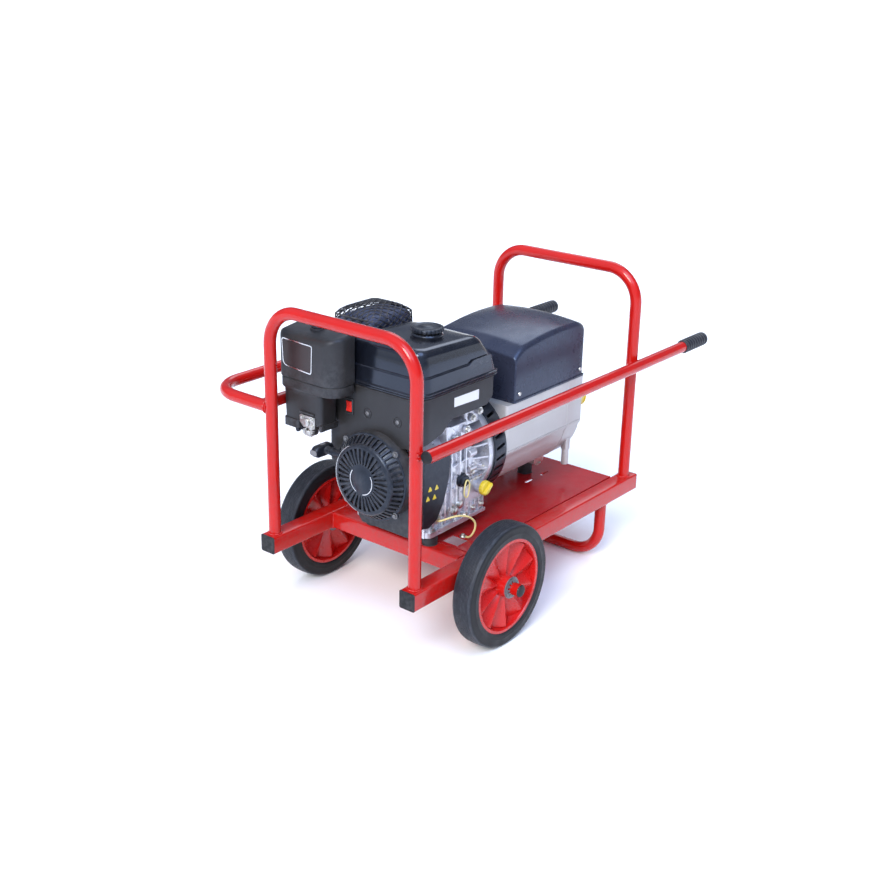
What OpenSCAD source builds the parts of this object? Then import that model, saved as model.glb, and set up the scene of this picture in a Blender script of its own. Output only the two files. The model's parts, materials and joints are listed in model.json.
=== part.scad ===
// Barrow-mounted petrol generator: air-cooled engine and alternator on a two-wheeled tube frame.
// X runs from the front hoop to the handle grips, Y to the guard bar's side, Z up from the ground.

/* [Frame] */
// Outer diameter of the frame tube
tube_d = 27; // [25:0.5:28]
// Wall of the frame tube
tube_wall = 2.6; // [2:0.2:4]
// Side of the square rail tube
box_size = 40; // [38:1:42]
// Wall of the square rail tube
box_wall = 3; // [2:0.5:4]
// Distance between the two rails, centre to centre
hoop_w = 400; // [396:2:404]
// Distance between the front and rear hoops
hoop_span = 794; // [780:2:810]
// Height of the hoops' centreline above the ground
hoop_top = 701; // [696:1:720]
// Bend radius of the hoops' centreline
hoop_bend = 78; // [60:1:90]
// Height of the rails' top face
rail_top = 191; // [190:1:192]
// How far each rail runs past its hoop, without its cap
rail_end = 22; // [18:1:30]
// Height of the handle tubes' centreline
handle_z = 482; // [478:1:488]
// Where the handle tubes end
handle_x = 1086; // [1040:2:1120]
// Thickness of the deck plate
deck_t = 3; // [2:0.5:4]

/* [Guard bar and stand] */
// Distance of the guard bar's outer run from the centreline
guard_y = 392; // [380:1:400]
// Where the guard bar turns back to the handle
guard_x = 400; // [360:2:420]
// Bend radius of the guard bar
guard_bend = 80; // [60:1:90]
// Position of the rear stand
stand_x = 697.5; // [680:0.5:710]
// Bend radius of the stand
stand_bend = 70; // [60:1:80]

/* [Wheels] */
// Wheel diameter
wheel_d = 275; // [270:1:276]
// Tyre width
tyre_w = 50; // [44:1:52]
// Distance of the tyre's middle from the centreline
wheel_y = 256.6; // [256:0.1:262]
// Position of the axle
axle_x = 217; // [217:1:222]
// Radius where the tyre sits on the rim
rim_r = 105; // [100:1:108]
// Number of ribs on each rim
rim_ribs = 10; // [8:1:12]

/* [Engine] */
// Height of the crankshaft's axis
crank_z = 353; // [353:0.5:354]
// Sideways position of the crankshaft's axis
crank_y = -4; // [-4:0.5:-3]
// Lean of the cylinder above the horizontal
lean = 45; // [45:1:46]
// Crank throw
throw = 33; // [30:0.5:33]
// Connecting rod length
rod_len = 110; // [108:1:110]
// Cylinder bore radius
bore_r = 45; // [43:0.5:45]
// Number of cooling fins on the barrel
fins = 8; // [6:1:8]
// Number of fan vanes on the flywheel
vanes = 14; // [10:1:18]

/* [Alternator] */
// Half width of the alternator's case
alt_half = 120; // [116:1:122]
// Front of the case
alt_x0 = 403; // [403:1:404]
// Rear of the case
alt_x1 = 706; // [700:1:708]
// Joint between the case and the terminal cover
alt_split = 455; // [450:1:460]
// Number of air slots round the adapter
air_slots = 30; // [20:2:36]

/* [Hidden] */
$fn = 48;

tube_r = tube_d / 2;
axle_z = wheel_d / 2;
rail_bottom = rail_top - box_size;
hoop_y = hoop_w / 2;
handle_y = hoop_y + tube_d;
rail_in = hoop_y - box_size / 2;
cap_t = 2;
rail_x0 = -rail_end;
rail_x1 = hoop_span + rail_end + 8;
deck_x0 = 203;
deck_x1 = 767;
grip_len = 100;
grip_r = 17;
grip_end = 3;
axle_end = 309;
// The row's origin: the middle of the whole object's box, on the ground
front_x = rail_x0 - cap_t;
mid_x = (front_x + handle_x + grip_end) / 2;
mid_y = ((guard_y + tube_r) - (axle_end + 4)) / 2;
alt_y0 = crank_y - alt_half;
alt_y1 = crank_y + alt_half;
bore_clear = 0.05;
cyl_x = 215;

// ---------- helpers ----------
module place() translate([-mid_x, -mid_y, 0]) children();
module box(lo, hi) translate(lo) cube([hi[0] - lo[0], hi[1] - lo[1], hi[2] - lo[2]]);
module bar_x(x0, x1, y, z, r) translate([x0, y, z]) rotate([0, 90, 0]) cylinder(r = r, h = x1 - x0);
module bar_y(y0, y1, x, z, r) translate([x, y0, z]) rotate([-90, 0, 0]) cylinder(r = r, h = y1 - y0);
module bar_z(z0, z1, x, y, r) translate([x, y, z0]) cylinder(r = r, h = z1 - z0);
// A disc about the crankshaft's axis
module disc(x0, x1, r) bar_x(x0, x1, crank_y, crank_z, r);
// Puts children drawn in the YZ plane (as X, Y) at x, extruded along X
module along_x(x0, x1) translate([x0, 0, 0]) rotate([90, 0, 90]) linear_extrude(x1 - x0) children();
// Puts children drawn in the XZ plane (as X, Y) at y0, extruded along Y
module along_y(y0, y1) translate([0, y1, 0]) rotate([90, 0, 0]) linear_extrude(y1 - y0) children();
// A rectangle with round corners
module round_rect(lo, hi, r) {
    translate([lo[0] + r, lo[1]]) square([hi[0] - lo[0] - 2 * r, hi[1] - lo[1]]);
    translate([lo[0], lo[1] + r]) square([hi[0] - lo[0], hi[1] - lo[1] - 2 * r]);
    for (x = [lo[0] + r, hi[0] - r], y = [lo[1] + r, hi[1] - r])
        translate([x, y]) circle(r);
}
// Points of an arc
function arc(cx, cy, r, a0, a1, n = 8) =
    [for (i = [0:n]) [cx + r * cos(a0 + (a1 - a0) * i / n), cy + r * sin(a0 + (a1 - a0) * i / n)]];
// Frame of the leaning cylinder: local Z runs out along the cylinder's axis, local X stays X
module on_cylinder() translate([cyl_x, crank_y, crank_z]) rotate([lean - 90, 0, 0]) children();

// ---------- frame ----------
module rail(y) {
    difference() {
        box([rail_x0, y - box_size / 2, rail_bottom], [rail_x1, y + box_size / 2, rail_top]);
        box([rail_x0 - 1, y - box_size / 2 + box_wall, rail_bottom + box_wall],
            [rail_x1 + 1, y + box_size / 2 - box_wall, rail_top - box_wall]);
    }
}
module rail_left() color("red") place() rail(hoop_y);
module rail_right() color("red") place() rail(-hoop_y);

module cross_box(x0, x1, z0, z1) {
    difference() {
        box([x0, -rail_in, z0], [x1, rail_in, z1]);
        box([x0 + box_wall, -rail_in - 1, z0 + box_wall], [x1 - box_wall, rail_in + 1, z1 - box_wall]);
    }
}
module crossmembers() color("red") place() {
    cross_box(163, deck_x0, rail_bottom, rail_top);
    for (x = [400, deck_x1 - 40])
        cross_box(x, x + 40, rail_top - deck_t - 30, rail_top - deck_t);
}

// Slotted holes for a machine foot, and a square hole on each side under the engine
slot_len = 31;
slot_w = 8;
slot_x = 644.5;
slot_pitch_x = 64;
slot_pitch_y = 83;
hole_x0 = 211;
module deck_plate() color("firebrick") place() {
    difference() {
        box([deck_x0, -rail_in, rail_top - deck_t], [deck_x1, rail_in, rail_top]);
        for (s = [-1, 1])
            translate([0, s * 122, 0])
                box([hole_x0, -21, rail_top - deck_t - 1], [hole_x0 + 40, 21, rail_top + 1]);
        for (sx = [-1, 1], sy = [-1, 1])
            translate([slot_x + sx * slot_pitch_x / 2, crank_y + sy * slot_pitch_y / 2, rail_top - 5])
                linear_extrude(deck_t + 4) {
                    square([slot_len - slot_w, slot_w], center = true);
                    for (e = [-1, 1])
                        translate([e * (slot_len - slot_w) / 2, 0]) circle(slot_w / 2);
                }
    }
}

// A U drawn in the XY plane: legs from y0 up to the bends, the crossbar's centreline at y1
module u_shape(half, y0, y1, bend, r) {
    for (s = [0, 1]) mirror([s, 0, 0]) {
        translate([half, y0, 0]) rotate([-90, 0, 0]) cylinder(r = r, h = y1 - bend - y0);
        translate([half - bend, y1 - bend, 0]) rotate_extrude(angle = 90) translate([bend, 0]) circle(r);
    }
    translate([-(half - bend), y1, 0]) rotate([0, 90, 0]) cylinder(r = r, h = 2 * (half - bend));
}
module hoop(x) {
    translate([x, 0, 0]) rotate([90, 0, 90]) difference() {
        u_shape(hoop_y, rail_top, hoop_top, hoop_bend, tube_r);
        u_shape(hoop_y, rail_top, hoop_top, hoop_bend, tube_r - tube_wall);
    }
}
module front_hoop() color("red") place() hoop(0);
module rear_hoop() color("red") place() hoop(hoop_span);
module rear_stand() color("red") place() {
    translate([stand_x, 0, 0]) mirror([0, 0, 1]) rotate([90, 0, 90]) difference() {
        u_shape(hoop_y, -rail_bottom, -tube_r, stand_bend, tube_r);
        u_shape(hoop_y, -rail_bottom, -tube_r, stand_bend, tube_r - tube_wall);
    }
}

module handle_left() color("red") place() {
    difference() {
        bar_x(2, handle_x, handle_y, handle_z, tube_r);
        bar_y(handle_y - 60, handle_y + 60, 0, handle_z, tube_r);
        bar_x(0, handle_x + 1, handle_y, handle_z, tube_r - tube_wall);
    }
}
module handle_right() color("red") place() {
    difference() {
        bar_x(0, handle_x, -handle_y, handle_z, tube_r);
        bar_x(-1, handle_x + 1, -handle_y, handle_z, tube_r - tube_wall);
    }
}

// The guard bar's centreline, drawn in the XY plane, from the hoop's leg round to the handle
module guard_path(r, over) {
    run_y0 = hoop_y + tube_r * 0.2;
    translate([0, run_y0, 0]) rotate([-90, 0, 0]) cylinder(r = r, h = guard_y - guard_bend - run_y0);
    translate([guard_bend, guard_y - guard_bend, 0])
        rotate([0, 0, 90]) rotate_extrude(angle = 90) translate([guard_bend, 0]) circle(r);
    translate([guard_bend, guard_y, 0]) rotate([0, 90, 0]) cylinder(r = r, h = guard_x - 2 * guard_bend);
    translate([guard_x - guard_bend, guard_y - guard_bend, 0])
        rotate_extrude(angle = 90) translate([guard_bend, 0]) circle(r);
    translate([guard_x, handle_y + over, 0])
        rotate([-90, 0, 0]) cylinder(r = r, h = guard_y - guard_bend - handle_y - over);
}
module guard_bar() color("red") place() {
    difference() {
        translate([0, 0, handle_z]) guard_path(tube_r, 3);
        translate([0, 0, handle_z]) guard_path(tube_r - tube_wall, 2);
        bar_z(rail_top, handle_z + 60, 0, hoop_y, tube_r);
        bar_x(2, handle_x, handle_y, handle_z, tube_r);
    }
}

module axle() color("red") place() {
    difference() {
        bar_y(-axle_end, axle_end, axle_x, axle_z, tube_r);
        bar_y(-axle_end - 1, axle_end + 1, axle_x, axle_z, tube_r - 4);
    }
}

module rail_caps() color("black") place() {
    inner = box_size - 2 * box_wall - 1;
    for (y = [-hoop_y, hoop_y]) {
        box([rail_x0 - cap_t, y - box_size / 2, rail_bottom], [rail_x0, y + box_size / 2, rail_top]);
        box([rail_x0, y - inner / 2, rail_bottom + box_wall + 0.5],
            [rail_x0 + 15, y + inner / 2, rail_top - box_wall - 0.5]);
        box([rail_x1, y - box_size / 2, rail_bottom], [rail_x1 + cap_t, y + box_size / 2, rail_top]);
        box([rail_x1 - 15, y - inner / 2, rail_bottom + box_wall + 0.5],
            [rail_x1, y + inner / 2, rail_top - box_wall - 0.5]);
    }
}
// A round push-in cap along +X: head then plug
module round_cap(plug_r) {
    rotate([0, 90, 0]) rotate_extrude()
        polygon([[0, -4], [10, -4], [tube_r - 0.5, -2.5], [tube_r, 0], [plug_r, 0], [plug_r, 14], [0, 14]]);
}
module round_caps() color("black") place() {
    translate([0, -handle_y, handle_z]) round_cap(tube_r - tube_wall - 0.1);
    translate([axle_x, -axle_end, axle_z]) rotate([0, 0, 90]) round_cap(tube_r - 4.1);
    translate([axle_x, axle_end, axle_z]) rotate([0, 0, -90]) round_cap(tube_r - 4.1);
}

// Ribbed grip, closed at its outer end
grip_ribs = 9;
module grip() {
    pitch = grip_len / grip_ribs;
    low = grip_r - 1.6;
    ribs = [for (i = [0:grip_ribs - 1], p = [[low, 0.12], [grip_r, 0.3], [grip_r, 0.72], [low, 0.9]])
        [p[0], pitch * (i + p[1])]];
    rotate([0, 90, 0]) rotate_extrude()
        polygon(concat([[tube_r, 0], [low, 0]], ribs,
            [[grip_r - 2, grip_len + grip_end - 1], [grip_r - 5, grip_len + grip_end],
             [0, grip_len + grip_end], [0, grip_len], [tube_r, grip_len]]));
}
module grips() color("black") place() {
    for (s = [-1, 1])
        translate([handle_x - grip_len, s * handle_y, handle_z]) grip();
}

// ---------- wheels ----------
hub_half = 27;
hub_r = 24;
bush_r = 17;
washer_t = 3;
// Profile of the rim, radius across and width up
module rim_shape() {
    rotate_extrude() polygon([[bush_r, -hub_half], [hub_r, -hub_half], [hub_r + 2, -6], [rim_r - 9, -6],
        [rim_r - 6, -20], [rim_r - 4, -23], [rim_r, -23], [rim_r, 23], [rim_r - 4, 23], [rim_r - 6, 20],
        [rim_r - 9, 0], [hub_r + 2, 0], [hub_r, hub_half], [bush_r, hub_half]]);
    for (i = [0:rim_ribs - 1]) rotate([0, 0, 360 * (i + 0.5) / rim_ribs])
        translate([hub_r - 1, 0, 0]) rotate([90, 0, 0]) translate([0, 0, -2.5])
            linear_extrude(5) polygon([[0, -16], [rim_r - hub_r - 2, -18], [rim_r - hub_r - 2, 18], [0, 16]]);
}
module tyre_shape() {
    h = tyre_w / 2;
    r = wheel_d / 2;
    rotate_extrude() polygon(concat([[rim_r, -h + 2], [rim_r + 6, -h]],
        arc(r - 12, -h + 10, 10, -90, -12, 5), [[r, -6], [r, 6]],
        arc(r - 12, h - 10, 10, 12, 90, 5), [[rim_r + 6, h], [rim_r, h - 2]]));
}
module at_wheel(s) translate([axle_x, s * wheel_y, axle_z]) rotate([-90, 0, 0]) children();
module rim_left() color("red") place() at_wheel(1) rim_shape();
module rim_right() color("red") place() at_wheel(-1) rim_shape();
module tyre_left() color("dimgray") place() at_wheel(1) tyre_shape();
module tyre_right() color("dimgray") place() at_wheel(-1) tyre_shape();
module bush_shape() {
    difference() {
        translate([0, 0, -hub_half]) cylinder(r = bush_r, h = 2 * hub_half);
        translate([0, 0, -hub_half - 1]) cylinder(r = tube_r + bore_clear, h = 2 * hub_half + 2);
    }
}
module bush_left() color("white") place() at_wheel(1) bush_shape();
module bush_right() color("white") place() at_wheel(-1) bush_shape();
// Thrust washers inboard and outboard of each hub
module axle_washers() color("silver") place() {
    for (s = [-1, 1], e = [-1, 1])
        translate([axle_x, s * wheel_y + e * (hub_half + 0.4 + washer_t / 2), axle_z]) rotate([90, 0, 0])
            difference() {
                cylinder(r = 24, h = washer_t, center = true);
                cylinder(r = tube_r, h = washer_t + 1, center = true);
            }
}

// ---------- engine: crankcase and cylinder ----------
foot_z = 216;
case_x0 = 150;
case_x1 = 300;
cover_x1 = 363;
module crankcase() color("silver") place() {
    difference() {
        union() {
            disc(case_x0, case_x1, 92);
            box([case_x0, -100, foot_z], [case_x1, 92, crank_z]);
            box([case_x0 + 8, -108, foot_z], [case_x1, 100, foot_z + 12]);
            intersection() {
                on_cylinder() cylinder(r = 62, h = 100);
                box([case_x0, -200, 0], [case_x1, 300, 700]);
            }
            for (x = [175, 215, 255])
                box([x - 3, -104, foot_z], [x + 3, -92, 330]);
        }
        disc(case_x0 + 18, case_x1 + 1, 60);
        disc(case_x0 - 1, case_x0 + 19, 40);
        on_cylinder() cylinder(r = bore_r + 3.5, h = 101);
        box([case_x0 + 18, -80, foot_z + 12], [case_x1 + 1, 72, crank_z]);
    }
}
module crankcase_cover() color("silver") place() {
    difference() {
        union() {
            disc(case_x1, 312, 98);
            disc(310, 350, 84);
            disc(345, cover_x1, 118);
            box([case_x1, -100, foot_z], [354, 92, crank_z - 2]);
            for (a = [22.5:45:337.5]) translate([308, crank_y, crank_z]) rotate([a, 0, 0])
                translate([0, -3, 80]) cube([42, 6, 33]);
            bar_y(-112, -90, 338, 280, 15);
        }
        disc(case_x1 - 1, 322, 60);
        disc(321, 339, 40);
        disc(338, cover_x1 + 1, 34);
        box([case_x1 - 1, -80, foot_z + 12], [322, 72, crank_z - 2]);
        bar_y(-113, -80, 338, 280, 9.1);
    }
}
module cylinder_head() color("lightgray") place() on_cylinder() {
    difference() {
        union() {
            translate([0, 0, 100]) cylinder(r = 54, h = 80);
            translate([0, 0, 72]) cylinder(r = bore_r + 3.5, h = 30);
            for (i = [0:fins - 1])
                translate([-60, -56, 104 + i * 9]) cube([120, 112, 3]);
            translate([-50, -50, 180]) cube([100, 100, 32]);
            for (i = [0:2])
                translate([-60, -56, 184 + i * 9]) cube([120, 112, 3]);
        }
        translate([0, 0, 60]) cylinder(r = bore_r, h = 122);
    }
}
module rocker_cover() color("dimgray") place() on_cylinder() {
    difference() {
        union() {
            translate([0, 0, 212]) linear_extrude(26) round_rect([-46, -38], [38, 38], 14);
            translate([0, 0, 212]) linear_extrude(4) round_rect([-50, -42], [40, 42], 10);
        }
        translate([0, 0, 211]) linear_extrude(24) round_rect([-43, -35], [35, 35], 11);
    }
}
pin_s = throw + rod_len;
module piston() color("silver") place() on_cylinder() {
    difference() {
        translate([0, 0, pin_s - 24]) cylinder(r = bore_r - 0.1, h = 58);
        translate([0, 0, pin_s - 25]) cylinder(r = bore_r - 7, h = 50);
        for (z = [18, 24])
            translate([0, 0, pin_s + z]) difference() {
                cylinder(r = bore_r + 1, h = 2);
                cylinder(r = bore_r - 3, h = 2);
            }
        translate([-50, 0, pin_s]) rotate([0, 90, 0]) cylinder(r = 10, h = 100);
    }
    translate([-40, 0, pin_s]) rotate([0, 90, 0]) cylinder(r = 10, h = 80);
}
rod_w = 20;
big_end_r = 26;
pin_r = 17;
module connecting_rod() color("lightgray") place() on_cylinder() {
    difference() {
        union() {
            translate([-rod_w / 2, 0, throw]) rotate([0, 90, 0]) cylinder(r = big_end_r, h = rod_w);
            translate([-rod_w / 2, 0, pin_s]) rotate([0, 90, 0]) cylinder(r = 16, h = rod_w);
            translate([-7, -9, throw]) cube([14, 18, rod_len]);
        }
        translate([-rod_w, 0, throw]) rotate([0, 90, 0]) cylinder(r = pin_r + bore_clear, h = 2 * rod_w);
        translate([-rod_w, 0, pin_s]) rotate([0, 90, 0]) cylinder(r = 10, h = 2 * rod_w);
        // clear of the circle that the crank pin sweeps
        translate([-rod_w, 0, 0]) rotate([0, 90, 0]) cylinder(r = throw + pin_r + 1.5, h = 2 * rod_w);
    }
}
web_r = 54;
web_gap = rod_w / 2 + 1;
shaft_r = 17.5;
rotor_shaft_r = 14;
rotor_x0 = 440;
rotor_x1 = 650;
module crankshaft() color("gray") place() {
    disc(90, 128, 12);
    disc(128, cyl_x - web_gap - 14, shaft_r);
    disc(cyl_x - web_gap - 14, cyl_x - web_gap, web_r);
    disc(cyl_x + web_gap, cyl_x + web_gap + 14, web_r);
    disc(cyl_x + web_gap + 14, 400, shaft_r);
    disc(400, 684, rotor_shaft_r);
    on_cylinder() translate([-web_gap, 0, throw]) rotate([0, 90, 0]) cylinder(r = pin_r, h = 2 * web_gap);
}
module bearing(x0, x1, r_in, r_out) {
    difference() {
        disc(x0, x1, r_out);
        disc(x0 - 1, x1 + 1, r_in + bore_clear);
    }
}
module bearings() color("silver") place() {
    bearing(case_x0, case_x0 + 18, shaft_r, 40);
    bearing(321.5, 338, shaft_r, 40);
    bearing(668, 684, rotor_shaft_r, 28);
}

// ---------- engine: fan, shroud and starter ----------
fan_r = 86;
ring_r = 97;
shroud_x = 107;
module flywheel() color("gray") place() {
    difference() {
        union() {
            disc(112, 124, fan_r - 4);
            disc(102, 130, 26);
            for (i = [0:vanes - 1])
                translate([98, crank_y, crank_z]) rotate([i * 360 / vanes, 0, 0])
                    translate([0, -1.5, 42]) cube([16, 3, fan_r - 44]);
        }
        disc(90, 128, 12);
        disc(128, 131, shaft_r);
    }
}
// Outline of the shroud's face, Y across and Z up, without the hole for the fan ring
wing_y = -120;
tank_z = 541;
module shroud_face() {
    difference() {
        polygon(concat([[135, tank_z], [135, 352], [118, 340]],
            arc(crank_y, crank_z, ring_r - 1, -8, 128, 14),
            [[-84, 430], [wing_y + 10, 418], [wing_y, 428], [wing_y, tank_z]]));
        translate([crank_y, crank_z]) circle(ring_r - 3);
    }
}
module apron() {
    difference() {
        polygon([[-108, 420], [-108, 232], [-92, 222], [50, 222], [62, 234], [62, 300], [96, 330],
            [110, 420]]);
        translate([crank_y, crank_z]) circle(ring_r - 3);
    }
}
switch_y = 74;
switch_z = 488;
module blower_housing() color("#2c2d30") place() {
    difference() {
        union() {
            along_x(shroud_x, shroud_x + 3) shroud_face();
            difference() {
                disc(88, 148, ring_r);
                disc(91, 149, ring_r - 3);
                disc(87, 92, 80);
            }
            along_y(wing_y, wing_y + 3)
                polygon([[shroud_x, 428], [125, 440], [180, 453], [207, 476], [332, 478], [352, 495],
                    [352, tank_z], [shroud_x, tank_z]]);
            box([shroud_x, 132, 352], [150, 135, tank_z]);
            // apron in front of the crankcase
            along_x(120, 123) apron();
            // switch bezel
            box([shroud_x - 3, switch_y - 12, switch_z - 18], [shroud_x, switch_y + 12, switch_z + 18]);
        }
        box([shroud_x - 10, switch_y - 8.5, switch_z - 13.5],
            [shroud_x + 10, switch_y + 8.5, switch_z + 13.5]);
        // louvres round the ring's upper right
        for (a = [-70:8:62])
            translate([100, crank_y, crank_z]) rotate([a, 0, 0])
                translate([-7, -1.6, ring_r - 6]) cube([12, 3.2, 12]);
    }
}
cup_r = 78;
post_r = 6;
rope_z = crank_z + 34;
rope_x = 76;
guide_y = 97;
grille_slots = 32;
module recoil_cover() color("#1b1c1f") place() {
    difference() {
        union() {
            disc(57, 60, cup_r);
            difference() {
                disc(57, 88, cup_r);
                disc(60, 89, cup_r - 3);
            }
            difference() {
                disc(85, 88, ring_r);
                disc(84, 89, cup_r - 3);
            }
            disc(60, 65, 30);
            disc(60, 83, post_r);
            bar_y(60, guide_y, rope_x, rope_z, 8);
        }
        bar_y(50, guide_y + 1, rope_x, rope_z, 3.2);
        // radial air slots in the face
        for (i = [0:grille_slots - 1])
            translate([56, crank_y, crank_z]) rotate([i * 360 / grille_slots, 0, 0])
                translate([0, -2, 38]) cube([5, 4, 33]);
    }
}
pulley_groove_r = 31;
module starter_pulley() color("gray") place() {
    translate([65.5, crank_y, crank_z]) rotate([0, 90, 0]) difference() {
        rotate_extrude() polygon([[post_r + bore_clear, 0], [38, 0], [38, 3], [pulley_groove_r, 6],
            [pulley_groove_r, 15], [38, 17.5], [post_r + bore_clear, 17.5]]);
        for (a = [0:60:300]) rotate([0, 0, a]) translate([19, 0, -1]) cylinder(r = 5, h = 20);
    }
}
// T grip on the rope, resting against the guide
module pull_handle() color("black") place() {
    gy = guide_y + 0.4;
    difference() {
        union() {
            bar_y(gy, gy + 14, rope_x, rope_z, 9);
            along_y(gy + 14, gy + 32) round_rect([rope_x - 34, rope_z - 13], [rope_x + 22, rope_z + 13], 12);
        }
        bar_y(gy - 1, gy + 26, rope_x, rope_z, 2.5);
    }
}
rope_tail = -64;
module starter_rope() color("white") place() bar_y(rope_tail, guide_y + 26, rope_x, rope_z, 2.5);
module stop_switch() color("red") place() {
    along_y(switch_y - 7.5, switch_y + 7.5)
        polygon([[shroud_x + 4, switch_z - 9], [shroud_x - 3, switch_z - 12], [shroud_x - 4, switch_z - 11],
            [shroud_x - 2, switch_z], [shroud_x - 4, switch_z + 11], [shroud_x - 3, switch_z + 12],
            [shroud_x + 4, switch_z + 9]]);
    bar_y(switch_y - 8.2, switch_y + 8.2, shroud_x + 2, switch_z, 2);
}
module side_panel() color("#202022") place() {
    along_y(-112, -109)
        polygon([[126, 250], [150, 244], [178, 256], [200, 290], [216, 340], [220, 392], [205, 404],
            [126, 404]]);
    for (p = [[160, 270], [185, 340]])
        bar_y(-109, -100, p[0], p[1], 5);
}

// ---------- engine: tank, intake and exhaust ----------
tank_x0 = 106;
tank_x1 = 382;
tank_y0 = -122;
tank_y1 = 95;
cap_x = 237;
cap_y = -28;
// Side view of the tank, X across and Z up, drawn in by t all round
module tank_side(t) {
    polygon(concat([[tank_x0 + t, tank_z + t], [tank_x0 + t, 609]],
        arc(tank_x0 + 34, 609, 34 - t, 180, 97, 6),
        [[300, 636 - t], [325, 629 - t]], arc(tank_x1 - 48, 582, 44 - t, 60, 8, 6),
        [[tank_x1 - t, 570], [tank_x1 - t, tank_z + t]]));
}
module tank_plan(t) round_rect([tank_x0 + t, tank_y0 + t], [tank_x1 - t, tank_y1 - t], 34 - t);
module fuel_tank() color("#17181b") place() {
    difference() {
        union() {
            intersection() {
                along_y(tank_y0, tank_y1) tank_side(0);
                translate([0, 0, tank_z]) linear_extrude(120) tank_plan(0);
            }
            translate([0, 0, tank_z]) linear_extrude(8)
                round_rect([tank_x0 - 1, tank_y0 - 5], [tank_x1 + 4, tank_y1 + 4], 36);
            bar_z(620, 650, cap_x, cap_y, 27);
        }
        intersection() {
            along_y(tank_y0, tank_y1) tank_side(4);
            translate([0, 0, tank_z + 4]) linear_extrude(120) tank_plan(4);
        }
        bar_z(560, 651, cap_x, cap_y, 23);
    }
}
module tank_cap() color("black") place() {
    translate([cap_x, cap_y, 0]) difference() {
        union() {
            translate([0, 0, 645.6]) rotate_extrude()
                polygon([[0, 0], [33, 0], [35, 2], [35, 7], [32, 9.5], [14, 10.5], [0, 10.5]]);
            for (i = [0:23]) rotate([0, 0, i * 15]) translate([33.5, -1.5, 647.5]) cube([2.5, 3, 5.5]);
        }
        translate([0, 0, 640]) cylinder(r = 27.4, h = 10.4);
    }
}
ac_x0 = 35;
ac_x1 = 103;
ac_x2 = 150;
ac_y0 = 51;
ac_y1 = 213;
ac_bend = 55;
ac_top = 658;
ac_skirt_z = 431;
ac_split = 545;
knob_x = 80;
knob_y = 137;
// Plan of the air cleaner, drawn in by t all round
module cleaner_plan(t) {
    polygon(concat(arc(ac_x0 + ac_bend, ac_y0 + ac_bend, ac_bend - t, 180, 270, 8),
        [[ac_x1 - t, ac_y0 + t], [ac_x1 - t, 100 + t]],
        [[ac_x2 - t, 100 + t]], arc(ac_x2 - 16, ac_y1 - 16, 16 - t, 0, 90, 4),
        arc(ac_x0 + 14, ac_y1 - 14, 14 - t, 90, 180, 4)));
}
module cleaner_side(t) {
    polygon([[ac_x0, ac_split - 1], [ac_x0, ac_top - 20 - t], [ac_x0 + 8, ac_top - 13 - t], [110, ac_top - t],
        [ac_x2, ac_top - t], [ac_x2, ac_split - 1]]);
}
module air_cleaner_cover() color("#1d1e21") place() {
    difference() {
        intersection() {
            translate([0, 0, ac_split]) linear_extrude(110) cleaner_plan(0);
            along_y(ac_y0, ac_y1) cleaner_side(0);
        }
        intersection() {
            translate([0, 0, ac_split - 1]) linear_extrude(110) cleaner_plan(3);
            along_y(ac_y0, ac_y1) cleaner_side(4);
        }
        bar_z(600, ac_top + 10, knob_x, knob_y, 5);
    }
    // raised frame of the blank badge
    difference() {
        box([ac_x0 - 2, 112, 566], [ac_x0, 198, 630]);
        box([ac_x0 - 3, 115, 569], [ac_x0 - 1, 195, 627]);
    }
}
duct_z = 446;
module air_cleaner_base() color("#1d1e21") place() {
    difference() {
        union() {
            intersection() {
                translate([0, 0, 522]) linear_extrude(ac_split - 522) cleaner_plan(3.4);
                box([0, 0, 500], [ac_x1, 300, 600]);
            }
            translate([0, 0, duct_z]) linear_extrude(523 - duct_z)
                round_rect([ac_x0 + 8, 100], [ac_x1 - 1, ac_y1 - 2], 12);
            // skirts on both sides of the carburettor
            box([ac_x0 + 8, 187, ac_skirt_z], [ac_x0 + 25, ac_y1 - 6, duct_z + 1]);
            box([ac_x0 + 18, 102, 437], [ac_x1 - 5, 108, duct_z + 1]);
            translate([0, 0, tank_z]) linear_extrude(ac_split - tank_z) cleaner_plan(3.4);
            bar_z(ac_split, ac_top - 10, knob_x, knob_y, 3);
        }
        translate([0, 0, duct_z + 4]) linear_extrude(120)
            round_rect([ac_x0 + 12, 145], [ac_x1 - 5, ac_y1 - 6], 8);
    }
}
module air_filter() color("beige") place() {
    difference() {
        translate([0, 0, ac_split + 0.5]) linear_extrude(68)
            round_rect([ac_x0 + 6, ac_y0 + 40], [ac_x1 - 5, ac_y1 - 8], 20);
        translate([0, 0, ac_split]) linear_extrude(60)
            round_rect([ac_x0 + 18, ac_y0 + 52], [ac_x1 - 17, ac_y1 - 20], 12);
        bar_z(ac_split, ac_top, knob_x, knob_y, 4);
    }
}
module air_cleaner_knob() color("black") place() {
    translate([knob_x, knob_y, 0]) difference() {
        union() {
            translate([0, 0, ac_top - 3]) cylinder(r = 15, h = 4);
            translate([0, 0, ac_top + 0.5]) cylinder(r = 11, h = 11);
            for (i = [0:5])
                rotate([0, 0, i * 60]) translate([11, 0, ac_top - 2.5]) cylinder(r = 3.5, h = 13);
        }
        translate([0, 0, ac_top - 12]) cylinder(r = 3.05, h = 14);
    }
}
carb_y = 164;
module carburettor() color("silver") place() {
    difference() {
        union() {
            box([62, carb_y - 19, 422], [100, carb_y + 19, duct_z]);
            bar_z(409, 422, 80, carb_y, 18);
            bar_z(404, 409, 80, carb_y, 6);
            hull() {
                bar_x(100, 106, carb_y, 433, 12);
                bar_x(149, 155, carb_y, 466, 13);
            }
        }
        bar_z(412, duct_z + 1, 80, carb_y, 12);
    }
}
choke_z = 436;
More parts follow.
